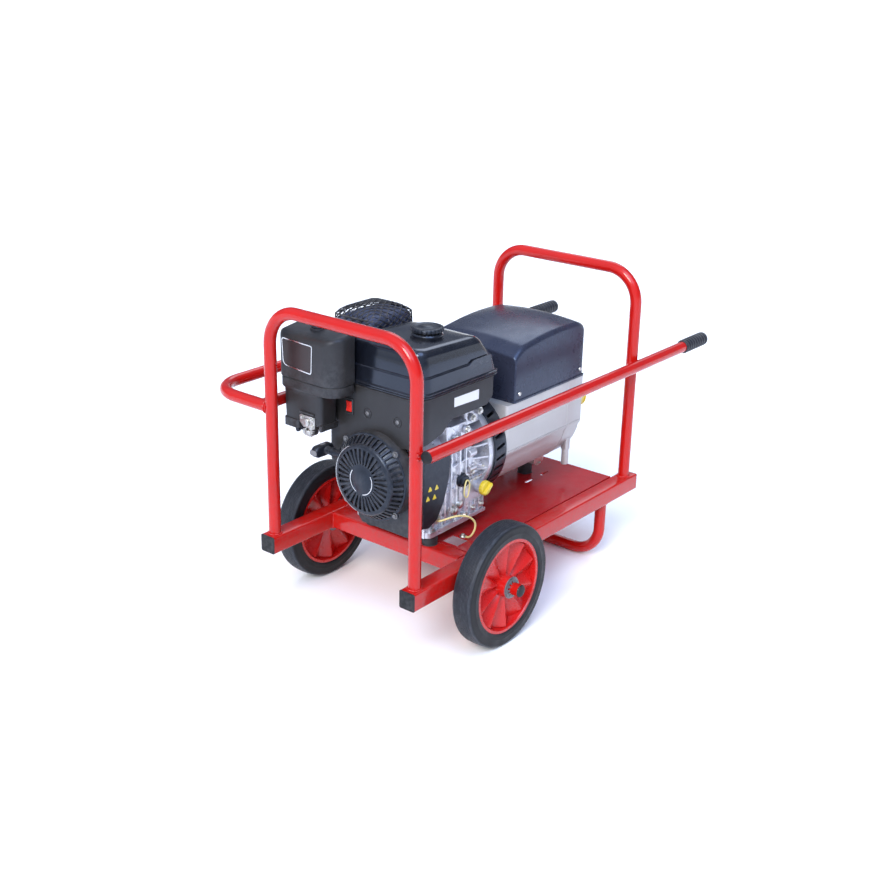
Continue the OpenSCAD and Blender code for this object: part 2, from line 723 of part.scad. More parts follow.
module choke_lever() color("black") place() {
    bar_x(52.5, 61.7, carb_y - 8, choke_z, 3);
    translate([52.5, carb_y - 8, choke_z]) rotate([-120, 0, 0]) {
        box([0, -3.5, 0], [3, 3.5, 19]);
        bar_x(-5, 3, 0, 20, 5);
    }
}
mf_x0 = 225;
mf_x1 = 355;
mf_y0 = 118;
mf_y1 = 222;
module muffler() color("#55565a") place() {
    difference() {
        along_x(mf_x0, mf_x1) round_rect([mf_y0, 566], [mf_y1, 632], 26);
        along_x(mf_x0 + 2, mf_x1 - 2) round_rect([mf_y0 + 2, 568], [mf_y1 - 2, 630], 24);
    }
    difference() {
        bar_z(500, 576, 267, 130, 10);
        bar_z(499, 577, 267, 130, 7.5);
        on_cylinder() translate([-100, -100, 100]) cube([200, 200, 112]);
    }
    bar_x(mf_x1, mf_x1 + 8, 190, 588, 11);
}
mg_x0 = 213;
mg_x1 = 366;
mg_y0 = 106;
mg_y1 = 234;
mg_z0 = 562;
mg_z1 = 652;
mesh_l = 26;
mesh_w = 11;
// Long hexagonal openings in staggered rows over a panel of the given size
module mesh_cuts(w, h) {
    nx = floor((w - 8) / (mesh_l + 5));
    ny = floor((h - 6) / (mesh_w + 4));
    for (j = [0:ny - 1], i = [0:nx - (j % 2) - 1])
        translate([(w - nx * (mesh_l + 5)) / 2 + (i + 0.5 + (j % 2) / 2) * (mesh_l + 5),
            (h - ny * (mesh_w + 4)) / 2 + (j + 0.5) * (mesh_w + 4)])
            polygon([[-mesh_l / 2, 0], [-mesh_l / 2 + 5, -mesh_w / 2], [mesh_l / 2 - 5, -mesh_w / 2],
                [mesh_l / 2, 0], [mesh_l / 2 - 5, mesh_w / 2], [-mesh_l / 2 + 5, mesh_w / 2]]);
}
module muffler_guard() color("#3a3b3e") place() {
    difference() {
        box([mg_x0, mg_y0, mg_z0], [mg_x1, mg_y1, mg_z1]);
        box([mg_x0 + 2, mg_y0 + 2, mg_z0 - 1], [mg_x1 - 2, mg_y1 - 2, mg_z1 - 2]);
        translate([mg_x0, mg_y0, mg_z1 - 5]) linear_extrude(10) mesh_cuts(mg_x1 - mg_x0, mg_y1 - mg_y0);
        translate([mg_x0, mg_y1 + 5, mg_z0]) rotate([90, 0, 0])
            linear_extrude(mg_y1 - mg_y0 + 10) mesh_cuts(mg_x1 - mg_x0, mg_z1 - mg_z0);
        translate([mg_x0 - 5, mg_y0, mg_z0]) rotate([90, 0, 90])
            linear_extrude(mg_x1 - mg_x0 + 10) mesh_cuts(mg_y1 - mg_y0, mg_z1 - mg_z0);
    }
    for (x = [mg_x0 + 24, mg_x1 - 24])
        bar_y(mf_y1, mg_y1 - 2, x, 600, 4);
}
module spark_plug() color("white") place() on_cylinder() {
    translate([60, 16, 196]) rotate([0, 90, 0]) {
        cylinder(r = 10.5, h = 8);
        translate([0, 0, 8]) cylinder(r = 9, h = 28);
        translate([-22, 0, 28]) rotate([0, 90, 0]) cylinder(r = 7, h = 22);
    }
}
module oil_plug() color("yellow") place() {
    difference() {
        union() {
            bar_y(-112.3, -92, 338, 280, 9);
            bar_y(-124, -112.3, 338, 280, 17);
            translate([338, 0, 280]) rotate([0, 30, 0]) box([-18, -131, -3.5], [18, -124, 3.5]);
        }
        for (a = [0:30:330])
            translate([338, -126, 280]) rotate([0, a, 0]) translate([18.5, 0, 0]) rotate([-90, 0, 0])
                cylinder(r = 2.6, h = 15);
    }
}

// ---------- alternator ----------
module alternator_adapter() color("#15161a") place() {
    difference() {
        disc(cover_x1, alt_x0, 122);
        disc(cover_x1 + 4, alt_x0 - 4, 114);
        disc(cover_x1 - 1, alt_x0 + 1, 60);
        for (i = [0:air_slots - 1])
            translate([(cover_x1 + alt_x0) / 2, crank_y, crank_z]) rotate([i * 360 / air_slots, 0, 0])
                translate([-15, -5, 106]) rotate([0, 0, 12]) cube([30, 7, 20]);
    }
}
// Section of the case, Y across and Z up: upright sides above a round barrel
case_r = 116;
module case_section() {
    polygon(concat([[alt_y0, alt_split], [alt_y0, crank_z - 20]], arc(crank_y, crank_z, case_r, 192, 348, 24),
        [[alt_y1, crank_z - 20], [alt_y1, alt_split]]));
}
stator_r = 104;
module alternator_case() color("#b9bbbf") place() {
    difference() {
        union() {
            along_x(alt_x0, alt_x1) case_section();
            for (y = [crank_y - 80, crank_y + 80])
                bar_z(228, 320, alt_x1 - 30, y, 8.5);
        }
        disc(alt_x0 + 10, alt_x1 - 12, stator_r);
        disc(alt_x0 - 1, alt_x0 + 11, 60);
        box([alt_x0 + 20, alt_y0 + 6, 420], [alt_x1 - 20, alt_y1 - 6, alt_split + 1]);
    }
    difference() {
        disc(666, alt_x1 - 12, 40);
        disc(665, alt_x1 - 22, 28);
        disc(665, alt_x1 - 11, rotor_shaft_r + 2);
    }
}
module stator() color("#a0522d") place() {
    difference() {
        disc(rotor_x0, rotor_x1, stator_r);
        disc(rotor_x0 - 1, rotor_x1 + 1, 72);
    }
}
module alternator_rotor() color("gray") place() {
    difference() {
        union() {
            disc(rotor_x0, rotor_x1, 70);
            disc(rotor_x0 - 22, rotor_x0, 48);
        }
        disc(rotor_x0 - 30, rotor_x1 + 1, rotor_shaft_r);
        for (a = [0, 180])
            translate([rotor_x0 - 25, crank_y, crank_z]) rotate([a, 0, 0]) translate([0, -12, 50])
                cube([rotor_x1, 24, 30]);
    }
}
cov_x0 = 428;
cov_x1 = 704;
crown_z = 598;
// End view of the cover, Y across and Z up, drawn in by t
module cover_section(t) {
    polygon(concat([[alt_y0 + t, alt_split - (t > 0 ? 1 : 0)], [alt_y0 + t, 556]],
        arc(alt_y0 + 38, 556, 38 - t, 172, 104, 6),
        arc(crank_y, crown_z - 400, 400 - t, 98, 82, 6),
        arc(alt_y1 - 38, 556, 38 - t, 76, 8, 6),
        [[alt_y1 - t, 556], [alt_y1 - t, alt_split - (t > 0 ? 1 : 0)]]));
}
module cover_side(t) {
    polygon(concat([[cov_x0 + t, alt_split - 2], [cov_x0 + t, 549 - t]],
        arc(cov_x0 + 24, 548, 24 - t, 170, 124, 4), [[484, 580 - t], [515, 590 - t], [548, 596.5 - t],
            [590, 598 - t], [650, 595 - t]],
        arc(cov_x1 - 26, 567, 26 - t, 78, 10, 4), [[cov_x1 - t, alt_split - 2]]));
}
module terminal_cover() color("#1c1e24") place() {
    difference() {
        intersection() {
            along_x(cov_x0, cov_x1) cover_section(0);
            along_y(alt_y0, alt_y1) cover_side(0);
        }
        intersection() {
            along_x(cov_x0, cov_x1) cover_section(3);
            along_y(alt_y0, alt_y1) cover_side(3);
        }
    }
}
mount_x = 652;
rear_mount_top = 227;
module alternator_foot() color("silver") place() {
    difference() {
        box([mount_x - 20, crank_y - 40, rear_mount_top], [mount_x + 20, crank_y + 40, 256]);
        along_x(mount_x - 21, mount_x + 21) case_section();
    }
    for (s = [-1, 1])
        bar_z(rear_mount_top - 6, rear_mount_top, mount_x, crank_y + s * 34, 8);
}
// A rubber cylinder with a steel stud hidden inside it
module rubber_mounts() color("black") place() {
    for (y = [crank_y - 84, crank_y + 76])
        bar_z(rail_top, foot_z, 183, y, 18);
    bar_z(rail_top, rear_mount_top, mount_x, crank_y, 18);
}
sock_y = -78;
sock_z = 388;
lid_x = 744;
hinge_z = sock_z + 35;
module outlet_socket() color("gold") place() {
    difference() {
        union() {
            along_x(alt_x1, alt_x1 + 6) round_rect([sock_y - 34, sock_z - 34], [sock_y + 34, sock_z + 34], 6);
            bar_x(alt_x1 + 6, lid_x - 1, sock_y, sock_z, 30);
            for (s = [-1, 1])
                box([lid_x - 16, sock_y + s * 16 - 4, sock_z + 24],
                    [lid_x - 1, sock_y + s * 16 + 4, hinge_z + 4]);
        }
        bar_x(alt_x1 + 12, lid_x, sock_y, sock_z, 25);
        bar_y(sock_y - 30, sock_y + 30, lid_x - 5, hinge_z, 2.1);
    }
    for (a = [90, 210, 330])
        translate([0, 14 * cos(a), 14 * sin(a)]) bar_x(alt_x1 + 12, alt_x1 + 20, sock_y, sock_z, 3);
}
module socket_lid() color("gold") place() {
    bar_x(lid_x, lid_x + 5, sock_y, sock_z, 31);
    bar_x(lid_x + 5, lid_x + 7, sock_y, sock_z, 24);
    box([lid_x, sock_y - 10, sock_z + 26], [lid_x + 5, sock_y + 10, hinge_z + 4]);
    box([lid_x - 5, sock_y - 10, hinge_z - 3], [lid_x, sock_y + 10, hinge_z + 4]);
    bar_y(sock_y - 10, sock_y + 10, lid_x - 5, hinge_z, 4);
    bar_y(sock_y - 22, sock_y + 22, lid_x - 5, hinge_z, 2.05);
}

// ---------- earth lead and screws ----------
// The lead's route from the crankcase foot out and down to the deck
lead_points = [[190, -100, 246], [190, -109, 247], [196, -118, 251], [208, -127, 255], [224, -136, 256],
    [240, -145, 252], [251, -151, 244], [257, -154, 234], [258, -154, 222], [256, -151, 210],
    [254, -146, 201], [255, -139, 195.5], [256, -131, 193.4]];
lead_r = 2.2;
lead_sides = 8;
// Direction of the route at point i
function lead_dir(i) =
    let (d = lead_points[min(i + 1, len(lead_points) - 1)] - lead_points[max(i - 1, 0)]) d / norm(d);
function ring(p, d) =
    let (u = cross([0.2, 0.3, 1], d), v = u / norm(u), w = cross(d, v), a = 360 / lead_sides)
    [for (k = [0:lead_sides - 1]) p + lead_r * (cos(a * k) * v + sin(a * k) * w)];
module earth_lead() color("khaki") place() {
    n = len(lead_points);
    pts = [for (i = [0:n - 1]) each ring(lead_points[i], lead_dir(i))];
    skin = [for (i = [0:n - 2], k = [0:lead_sides - 1])
        let (a = i * lead_sides + k, b = i * lead_sides + (k + 1) % lead_sides)
        [a, a + lead_sides, b + lead_sides, b]];
    ends = [[for (k = [0:lead_sides - 1]) k], [for (k = [lead_sides - 1:-1:0]) (n - 1) * lead_sides + k]];
    polyhedron(pts, concat(skin, ends));
}
module screw(r) {
    rotate_extrude() polygon([[0, 0], [r, 0], [r, 1.6], [r * 0.6, 3.2], [0, 3.2]]);
}
module cover_screws() color("silver") place() {
    for (p = [[24, 483], [-59, 483]])
        translate([shroud_x, p[0], p[1]]) rotate([0, -90, 0]) screw(7);
    for (x = [446, 688]) {
        translate([x, alt_y0, 474]) rotate([90, 0, 0]) screw(5);
        translate([x, alt_y1, 474]) rotate([-90, 0, 0]) screw(5);
    }
}

rail_left();
rail_right();
crossmembers();
deck_plate();
front_hoop();
rear_hoop();
handle_left();
handle_right();
guard_bar();
axle();
rear_stand();
rail_caps();
round_caps();
grips();
axle_washers();
rim_left();
rim_right();
tyre_left();
tyre_right();
bush_left();
bush_right();
crankcase();
crankcase_cover();
cylinder_head();
rocker_cover();
blower_housing();
recoil_cover();
fuel_tank();
air_cleaner_base();
air_filter();
air_cleaner_cover();
carburettor();
muffler();
muffler_guard();
spark_plug();
side_panel();
rubber_mounts();
piston();
connecting_rod();
crankshaft();
flywheel();
alternator_rotor();
starter_pulley();
pull_handle();
starter_rope();
stop_switch();
tank_cap();
air_cleaner_knob();
choke_lever();
oil_plug();
alternator_adapter();
alternator_case();
stator();
terminal_cover();
alternator_foot();
bearings();
outlet_socket();
socket_lid();
earth_lead();
cover_screws();
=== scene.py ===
"""Looks of the barrow-mounted petrol generator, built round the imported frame.

Lengths are millimetres in barrow coordinates, as in the part's source: X runs from the front hoop to the
handle grips, Y from the centreline to the guard bar's side, Z up from the ground. row() turns them into
metres in the row frame.
"""
import json
import math
import bmesh
import bpy
from mathutils import Matrix, Vector


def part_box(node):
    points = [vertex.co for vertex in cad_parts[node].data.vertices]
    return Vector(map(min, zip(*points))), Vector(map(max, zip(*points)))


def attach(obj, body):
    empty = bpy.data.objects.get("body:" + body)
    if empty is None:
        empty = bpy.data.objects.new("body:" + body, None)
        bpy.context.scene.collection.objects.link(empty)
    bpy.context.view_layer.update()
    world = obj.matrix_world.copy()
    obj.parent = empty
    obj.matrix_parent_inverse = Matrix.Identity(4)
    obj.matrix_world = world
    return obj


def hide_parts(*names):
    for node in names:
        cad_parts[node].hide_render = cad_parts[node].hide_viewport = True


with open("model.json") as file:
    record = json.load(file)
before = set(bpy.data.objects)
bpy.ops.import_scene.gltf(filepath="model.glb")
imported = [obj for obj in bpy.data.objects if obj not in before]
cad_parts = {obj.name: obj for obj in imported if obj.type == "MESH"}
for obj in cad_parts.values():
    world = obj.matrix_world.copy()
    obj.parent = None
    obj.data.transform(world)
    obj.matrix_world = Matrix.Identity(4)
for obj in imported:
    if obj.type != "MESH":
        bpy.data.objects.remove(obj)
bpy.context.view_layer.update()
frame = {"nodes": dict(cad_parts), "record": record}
NODES = frame["nodes"]

MM = 0.001
hoop_lo, hoop_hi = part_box("front_hoop")
ORIGIN = Vector(((hoop_lo.x + hoop_hi.x) / 2, (hoop_lo.y + hoop_hi.y) / 2, 0))
TO_ROW = Matrix.Translation(ORIGIN) @ Matrix.Scale(MM, 4)


def row(p):
    """A point in barrow millimetres, in the row frame."""
    return ORIGIN + Vector(p) * MM


def span(node):
    """Lowest and highest corner of a CAD node, in barrow millimetres."""
    lo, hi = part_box(node)
    return (lo - ORIGIN) / MM, (hi - ORIGIN) / MM


def middle(node):
    lo, hi = span(node)
    return (lo + hi) / 2


# ---------- camera ----------
def make_camera():
    """The viewing angle: from the front right, a little above the hoops."""
    eye = row((-1812.2, -1714.0, 1421.5))
    ahead = Vector((0.7261, 0.5886, -0.3554)).normalized()
    side = ahead.cross(Vector((0, 0, 1))).normalized()
    up = side.cross(ahead)
    roll = 0.0183
    true_up = up * math.cos(roll) - side * math.sin(roll)
    true_side = ahead.cross(true_up)
    data = bpy.data.cameras.new("camera")
    data.sensor_width = 36
    data.lens = 54.35
    data.clip_start = 0.05
    data.clip_end = 200
    cam = bpy.data.objects.new("camera", data)
    turn = Matrix((true_side, true_up, -ahead)).transposed()
    cam.matrix_world = Matrix.Translation(eye) @ turn.to_4x4()
    bpy.context.scene.collection.objects.link(cam)
    bpy.context.scene.camera = cam


make_camera()


# ---------- materials ----------
class Tree:
    """A node tree with short calls for the nodes that the materials and the sky use."""

    def __init__(self, node_tree, space):
        self.nodes = node_tree.nodes
        self.links = node_tree.links
        self.nodes.clear()
        self.coords = self.nodes.new("ShaderNodeTexCoord").outputs[space]

    def node(self, kind, **values):
        """A node whose sockets or settings are set by name; a socket value is linked."""
        made = self.nodes.new(kind)
        for key, value in values.items():
            name = key.replace("_", " ")
            if name not in made.inputs.keys():
                setattr(made, key, value)
            elif isinstance(value, bpy.types.NodeSocket):
                self.links.new(value, made.inputs[name])
            else:
                made.inputs[name].default_value = value
        return made

    def noise(self, scale, detail=4, stretch=None, rough=0.55):
        where = self.coords
        if stretch:
            where = self.node("ShaderNodeMapping", Vector=where, Scale=stretch).outputs[0]
        return self.node("ShaderNodeTexNoise", Vector=where, Scale=scale, Detail=detail,
                         Roughness=rough).outputs[0]

    def ramp(self, value, low, high, out_low=0.0, out_high=1.0):
        """Maps low..high to out_low..out_high, clamped."""
        made = self.nodes.new("ShaderNodeMapRange")
        self.links.new(value, made.inputs[0])
        for i, v in enumerate((low, high, out_low, out_high)):
            made.inputs[i + 1].default_value = v
        return made.outputs[0]

    def times(self, a, b):
        made = self.nodes.new("ShaderNodeMath")
        made.operation = "MULTIPLY"
        for i, v in enumerate((a, b)):
            if isinstance(v, bpy.types.NodeSocket):
                self.links.new(v, made.inputs[i])
            else:
                made.inputs[i].default_value = v
        return made.outputs[0]

    def mix(self, share, a, b):
        """A colour between a and b."""
        made = self.nodes.new("ShaderNodeMix")
        made.data_type = "RGBA"
        self.links.new(share, made.inputs[0])
        for socket, v in ((made.inputs[6], a), (made.inputs[7], b)):
            if isinstance(v, bpy.types.NodeSocket):
                self.links.new(v, socket)
            else:
                socket.default_value = (*v, 1)
        return made.outputs[2]

    def bump(self, height, strength, distance, after=None):
        made = self.node("ShaderNodeBump", Strength=strength, Distance=distance, Height=height)
        if after is not None:
            self.links.new(after, made.inputs["Normal"])
        return made.outputs[0]

    def wave(self, scale, axis, distortion=0.0):
        made = self.node("ShaderNodeTexWave", Vector=self.coords, Scale=scale, Distortion=distortion)
        made.bands_direction = axis
        return made.outputs["Fac"]


class Finish(Tree):
    """The tree of a material, with its shader."""

    def __init__(self, name):
        self.name = name
        self.material = bpy.data.materials.new(name)
        self.material.use_nodes = True
        super().__init__(self.material.node_tree, "Object")
        out = self.nodes.new("ShaderNodeOutputMaterial")
        self.bsdf = self.nodes.new("ShaderNodeBsdfPrincipled")
        self.links.new(self.bsdf.outputs[0], out.inputs[0])

    def set(self, name, value):
        socket = self.bsdf.inputs[name]
        if isinstance(value, bpy.types.NodeSocket):
            self.links.new(value, socket)
        elif isinstance(value, tuple):
            socket.default_value = (*value, 1)
        else:
            socket.default_value = value


def tint(color, k):
    return tuple(min(1.0, c * k) for c in color)


def surface(name, color, rough, metal=0.0, vary=0.10, tone=14, rough_span=0.10, grain=0.05, grain_size=0.8,
            coat=0.0, specular=0.5, wear=None, wear_share=0.5, dust=0.0, lumps=0.0, lump_size=6.0,
            painted_sky_sheen=None):
    """The shared finish: colour patches, smudged gloss, a fine grain, worn edges and dust on what faces up.
    grain_size and lump_size are in millimetres."""
    t = Finish(name)
    color_now = t.mix(t.ramp(t.noise(tone, 5), 0.3, 0.7), tint(color, 1 - vary), tint(color, 1 + vary))
    if dust:
        up = t.node("ShaderNodeSeparateXYZ",
                    Vector=t.node("ShaderNodeNewGeometry").outputs["Normal"]).outputs[2]
        where = t.times(t.ramp(up, 0.3, 1.0), t.ramp(t.noise(24, 6, rough=0.7), 0.42, 0.8, 0.0, dust))
        color_now = t.mix(where, color_now, (0.42, 0.39, 0.35))
    if wear:
        edge = t.ramp(t.node("ShaderNodeNewGeometry").outputs["Pointiness"], 0.52, 0.62)
        rubbed = t.times(edge, t.ramp(t.noise(90, 5, rough=0.7), 0.42, 0.62, 0.0, wear_share))
        color_now = t.mix(rubbed, color_now, wear)
    t.set("Base Color", color_now)
    t.set("Metallic", metal)
    smudge = t.noise(38, 6, rough=0.65)
    t.set("Roughness", t.ramp(smudge, 0.3, 0.75, max(0.03, rough - rough_span / 2), rough + rough_span / 2))
    normal = None
    if lumps:
        normal = t.bump(t.noise(1000 / lump_size, 3), lumps, 0.0012)
    if grain:
        normal = t.bump(t.noise(1000 / grain_size, 2), grain, 0.0004, normal)
    if normal is not None:
        t.set("Normal", normal)
    t.set("Specular IOR Level", specular)
    # painted reflection: the tint given here turns the specular reflection blue, standing in for a blue sky
    if painted_sky_sheen:
        t.set("Specular Tint", painted_sky_sheen)
    if coat:
        t.set("Coat Weight", coat)
        t.set("Coat Roughness", 0.06)
    return t


def tyre_rubber():
    """Moulded rubber with fine lines round the tread, blue-grey streaks on it that are partly scuffing and
    partly a painted sky sheen, and walls darkened by painted shade.
    """
    t = Finish("tyre")
    lines = t.wave(260, "Y", 0.6)
    # the streaks are scuffing, and their blue-grey tint is a painted sky sheen on the tread
    scuff_and_sheen = t.ramp(t.noise(60, 6, (1, 3.5, 1), 0.7), 0.45, 0.75)
    color_now = t.mix(scuff_and_sheen, (0.020, 0.023, 0.031), (0.050, 0.056, 0.070))
    # painted shade: the faces that look sideways, the walls, are darkened almost to black so that the tread
    # reads lighter, as though lit from above
    sideways_for_wall_shade = t.node("ShaderNodeSeparateXYZ",
                      Vector=t.node("ShaderNodeNewGeometry").outputs["Normal"]).outputs[1]
    wall = t.ramp(t.times(sideways_for_wall_shade, sideways_for_wall_shade), 0.25, 0.80)
    t.set("Base Color", t.mix(wall, color_now, (0.005, 0.0055, 0.007)))
    t.set("Specular IOR Level", 0.3)
    t.set("Roughness", t.ramp(t.noise(50, 5), 0.3, 0.7, 0.36, 0.54))
    fine = t.bump(t.noise(1500, 2), 0.25, 0.0003)
    t.set("Normal", t.bump(lines, 0.35, 0.0005, fine))
    return t


def brushed(name, color, rough, stretch, metal=1.0):
    """Metal with fine drawn lines along the least stretched axis."""
    t = Finish(name)
    lines = t.noise(220, 5, stretch, 0.7)
    t.set("Base Color", t.mix(t.ramp(t.noise(40, 5), 0.35, 0.7), tint(color, 0.8), tint(color, 1.1)))
    t.set("Metallic", metal)
    t.set("Roughness", t.ramp(lines, 0.3, 0.7, rough - 0.09, rough + 0.09))
    t.set("Normal", t.bump(lines, 0.12, 0.0004))
    return t


def cast_metal(name, color, rough):
    """Cast aluminium: sand-cast skin, darker in the hollows, oily stains and bright rubbed edges."""
    t = Finish(name)
    stain = t.ramp(t.noise(26, 5, rough=0.6), 0.38, 0.62)
    base = t.mix(stain, tint(color, 0.84), color)
    point = t.node("ShaderNodeNewGeometry").outputs["Pointiness"]
    base = t.mix(t.ramp(point, 0.34, 0.47), tint(color, 0.36), base)
    base = t.mix(t.times(t.ramp(point, 0.53, 0.62), t.ramp(t.noise(120, 4), 0.4, 0.6)), base,
                 (0.86, 0.86, 0.88))
    t.set("Base Color", base)
    t.set("Metallic", 0.7)
    t.set("Roughness", t.ramp(t.noise(60, 4), 0.3, 0.7, rough - 0.06, rough + 0.08))
    skin = t.bump(t.noise(420, 4, rough=0.65), 0.18, 0.0004)
    t.set("Normal", t.bump(t.noise(1600, 2), 0.15, 0.0002, skin))
    return t


def braided():
    """Braided starter rope: two crossed sets of strands."""
    t = Finish("rope")
    a = t.node("ShaderNodeTexWave", Vector=t.coords, Scale=190).outputs["Fac"]
    b = t.wave(260, "Y")
    t.set("Base Color", t.mix(t.times(a, b), (0.45, 0.45, 0.42), (0.86, 0.86, 0.82)))
    t.set("Roughness", t.ramp(t.noise(300), 0.3, 0.7, 0.75, 0.92))
    t.set("Normal", t.bump(t.times(a, b), 0.6, 0.0006))
    return t


def pleated():
    """Filter paper folded into narrow pleats."""
    t = Finish("filter_paper")
    pleats = t.wave(95, "DIAGONAL")
    t.set("Base Color", t.mix(pleats, (0.55, 0.46, 0.30), (0.80, 0.71, 0.53)))
    t.set("Roughness", t.ramp(t.noise(200), 0.3, 0.7, 0.8, 0.95))
    t.set("Normal", t.bump(pleats, 0.8, 0.002))
    return t


def copper_winding():
    """Varnished copper wire, laid in fine turns along the machine."""
    t = Finish("winding")
    turns = t.wave(210, "X", 0.8)
    t.set("Base Color", t.mix(turns, (0.28, 0.09, 0.03), (0.62, 0.27, 0.11)))
    t.set("Metallic", 0.7)
    t.set("Roughness", t.ramp(t.noise(90), 0.3, 0.7, 0.25, 0.42))
    t.set("Normal", t.bump(turns, 0.5, 0.001))
    return t


RED_CHIP = (0.20, 0.05, 0.04)
PALE_RUB = (0.16, 0.16, 0.17)
FINISHES = (
    surface("frame_red", (0.44, 0.005, 0.003), 0.20, vary=0.06, grain=0.05, grain_size=2.2, specular=0.25,
            coat=0.4, wear=RED_CHIP, wear_share=0.25, dust=0.02),
    surface("deck_red", (0.36, 0.006, 0.009), 0.20, vary=0.08, grain=0.05, grain_size=2.6, specular=0.25,
            coat=0.2, wear=RED_CHIP, wear_share=0.3, dust=0.04),
    surface("black_cap", (0.006, 0.0065, 0.008), 0.46, specular=0.25, grain=0.12, grain_size=0.9,
            wear=PALE_RUB, wear_share=0.4, dust=0.06),
    surface("grip_rubber", (0.014, 0.015, 0.020), 0.48, specular=0.4, grain=0.25, grain_size=0.7,
            wear=PALE_RUB, wear_share=0.8, dust=0.12),
    brushed("zinc", (0.66, 0.66, 0.63), 0.34, (1, 5, 1)),
    # the rim's convex edges are coloured a brighter, more saturated red in patches
    surface("rim_red", (0.48, 0.006, 0.005), 0.28, vary=0.05, tone=8, grain=0.04, coat=0.15,
            wear=(0.88, 0.08, 0.05), wear_share=0.2),
    tyre_rubber(),
    surface("nylon", (0.74, 0.71, 0.64), 0.45, vary=0.05, grain=0.05),
    cast_metal("cast_aluminium", (0.62, 0.63, 0.69), 0.31),
    # the blue specular tints on the shroud, the black plastics, the tank and the cover are a painted sky
    # reflection
    surface("shroud", (0.022, 0.020, 0.019), 0.44, specular=0.45, painted_sky_sheen=(0.72, 0.82, 1.0), vary=0.14,
            grain=0.22, grain_size=0.9, wear=PALE_RUB, wear_share=0.4, dust=0.08),
    surface("black_plastic", (0.008, 0.009, 0.013), 0.33, specular=0.45, painted_sky_sheen=(0.62, 0.76, 1.0),
            grain=0.14, grain_size=0.8, wear=PALE_RUB, wear_share=0.5, dust=0.12),
    surface("tank_black", (0.006, 0.007, 0.011), 0.17, specular=0.55, painted_sky_sheen=(0.58, 0.72, 1.0), vary=0.2,
            grain=0.08, grain_size=1.4, coat=0.25, wear=PALE_RUB, wear_share=0.5, dust=0.08),
    pleated(),
    brushed("carb_alloy", (0.55, 0.54, 0.52), 0.36, (3, 1, 1)),
    surface("exhaust_steel", (0.050, 0.064, 0.125), 0.42, metal=0.3, vary=0.3, tone=30, grain=0.2,
            lumps=0.1, wear=(0.20, 0.14, 0.11), wear_share=0.6),
    surface("guard_steel", (0.030, 0.031, 0.036), 0.38, metal=0.3, vary=0.2, grain=0.15,
            wear=(0.22, 0.20, 0.19), wear_share=0.5),
    surface("ceramic", (0.035, 0.035, 0.036), 0.40, grain=0.05),
    surface("mount_rubber", (0.020, 0.020, 0.022), 0.62, grain=0.3, grain_size=0.6, dust=0.2),
    brushed("steel", (0.55, 0.55, 0.57), 0.28, (1, 6, 6)),
    surface("cast_iron", (0.20, 0.20, 0.21), 0.55, metal=0.8, vary=0.2, grain=0.2, lumps=0.3, lump_size=3),
    copper_winding(),
    braided(),
    surface("switch_red", (0.66, 0.020, 0.012), 0.30, vary=0.05, grain=0.05),
    surface("yellow", (0.74, 0.55, 0.02), 0.33, vary=0.07, grain=0.08, wear=(0.95, 0.85, 0.4), dust=0.08),
    surface("case_silver", (0.43, 0.42, 0.42), 0.36, metal=0.35, vary=0.05, grain=0.04, grain_size=1.0,
            wear=(0.80, 0.80, 0.82), wear_share=0.4, dust=0.05),
    # cover_black's base colour leans blue: partly the cover's own dark blue-grey, partly a painted sky
    # reflection on its top
    surface("cover_black", (0.022, 0.025, 0.042), 0.29, specular=0.50, painted_sky_sheen=(0.50, 0.66, 1.0), vary=0.10,
            grain=0.015, grain_size=1.2, wear=PALE_RUB, wear_share=0.3, dust=0.05),
    surface("lead_insulation", (0.78, 0.66, 0.28), 0.42, vary=0.08, grain=0.05),
)
# by the name of the material slot in the record
MATERIALS = {finish.name: finish for finish in FINISHES}
LABEL = surface("blank_label", (0.80, 0.81, 0.83), 0.42, vary=0.03, grain=0.04)
BADGE = surface("badge_field", (0.022, 0.014, 0.015), 0.36, vary=0.2, grain=0.0, lumps=0.02, lump_size=8)
BRIGHT = brushed("bright_trim", (0.72, 0.72, 0.73), 0.22, (1, 1, 5))
PALE_PLASTIC = surface("pale_plastic", (0.16, 0.16, 0.17), 0.35, vary=0.05, grain=0.05)


# ---------- shape helpers ----------
def rounded(points, radius, steps=8, closed=False):
    """A path through points, with each corner turned into an arc. radius is one number or one a point."""
    pts = [Vector(p) for p in points]
    out = []
    for i, p in enumerate(pts):
        r = radius[i] if isinstance(radius, (list, tuple)) else radius
        if r == 0 or (not closed and i in (0, len(pts) - 1)):
            out.append(p)
            continue
        a = (pts[i - 1] - p).normalized()
        b = (pts[(i + 1) % len(pts)] - p).normalized()
        half = a.angle(b) / 2
        centre = p + (a + b).normalized() * (r / math.sin(half))
        reach = r / math.tan(half)
        start, end = p + a * reach - centre, p + b * reach - centre
        turn = math.pi - 2 * half
        for k in range(steps + 1):
            s = k / steps
            arm = start * math.sin((1 - s) * turn) + end * math.sin(s * turn)
            out.append(centre + arm / math.sin(turn))
    return out


def circle(r, sides=32):
    return [Vector((r * math.cos(2 * math.pi * k / sides), r * math.sin(2 * math.pi * k / sides)))
            for k in range(sides)]


def flat_ring(points, radius, steps=6):
    """A flat closed outline with its corners rounded."""
    return rounded([(*p, 0) for p in points], radius, steps, closed=True)


def round_rect(x0, y0, x1, y1, r, steps=6):
    return flat_ring([(x0, y0), (x1, y0), (x1, y1), (x0, y1)], r, steps)


def polar(r, degrees):
    a = math.radians(degrees)
    return r * math.cos(a), r * math.sin(a)


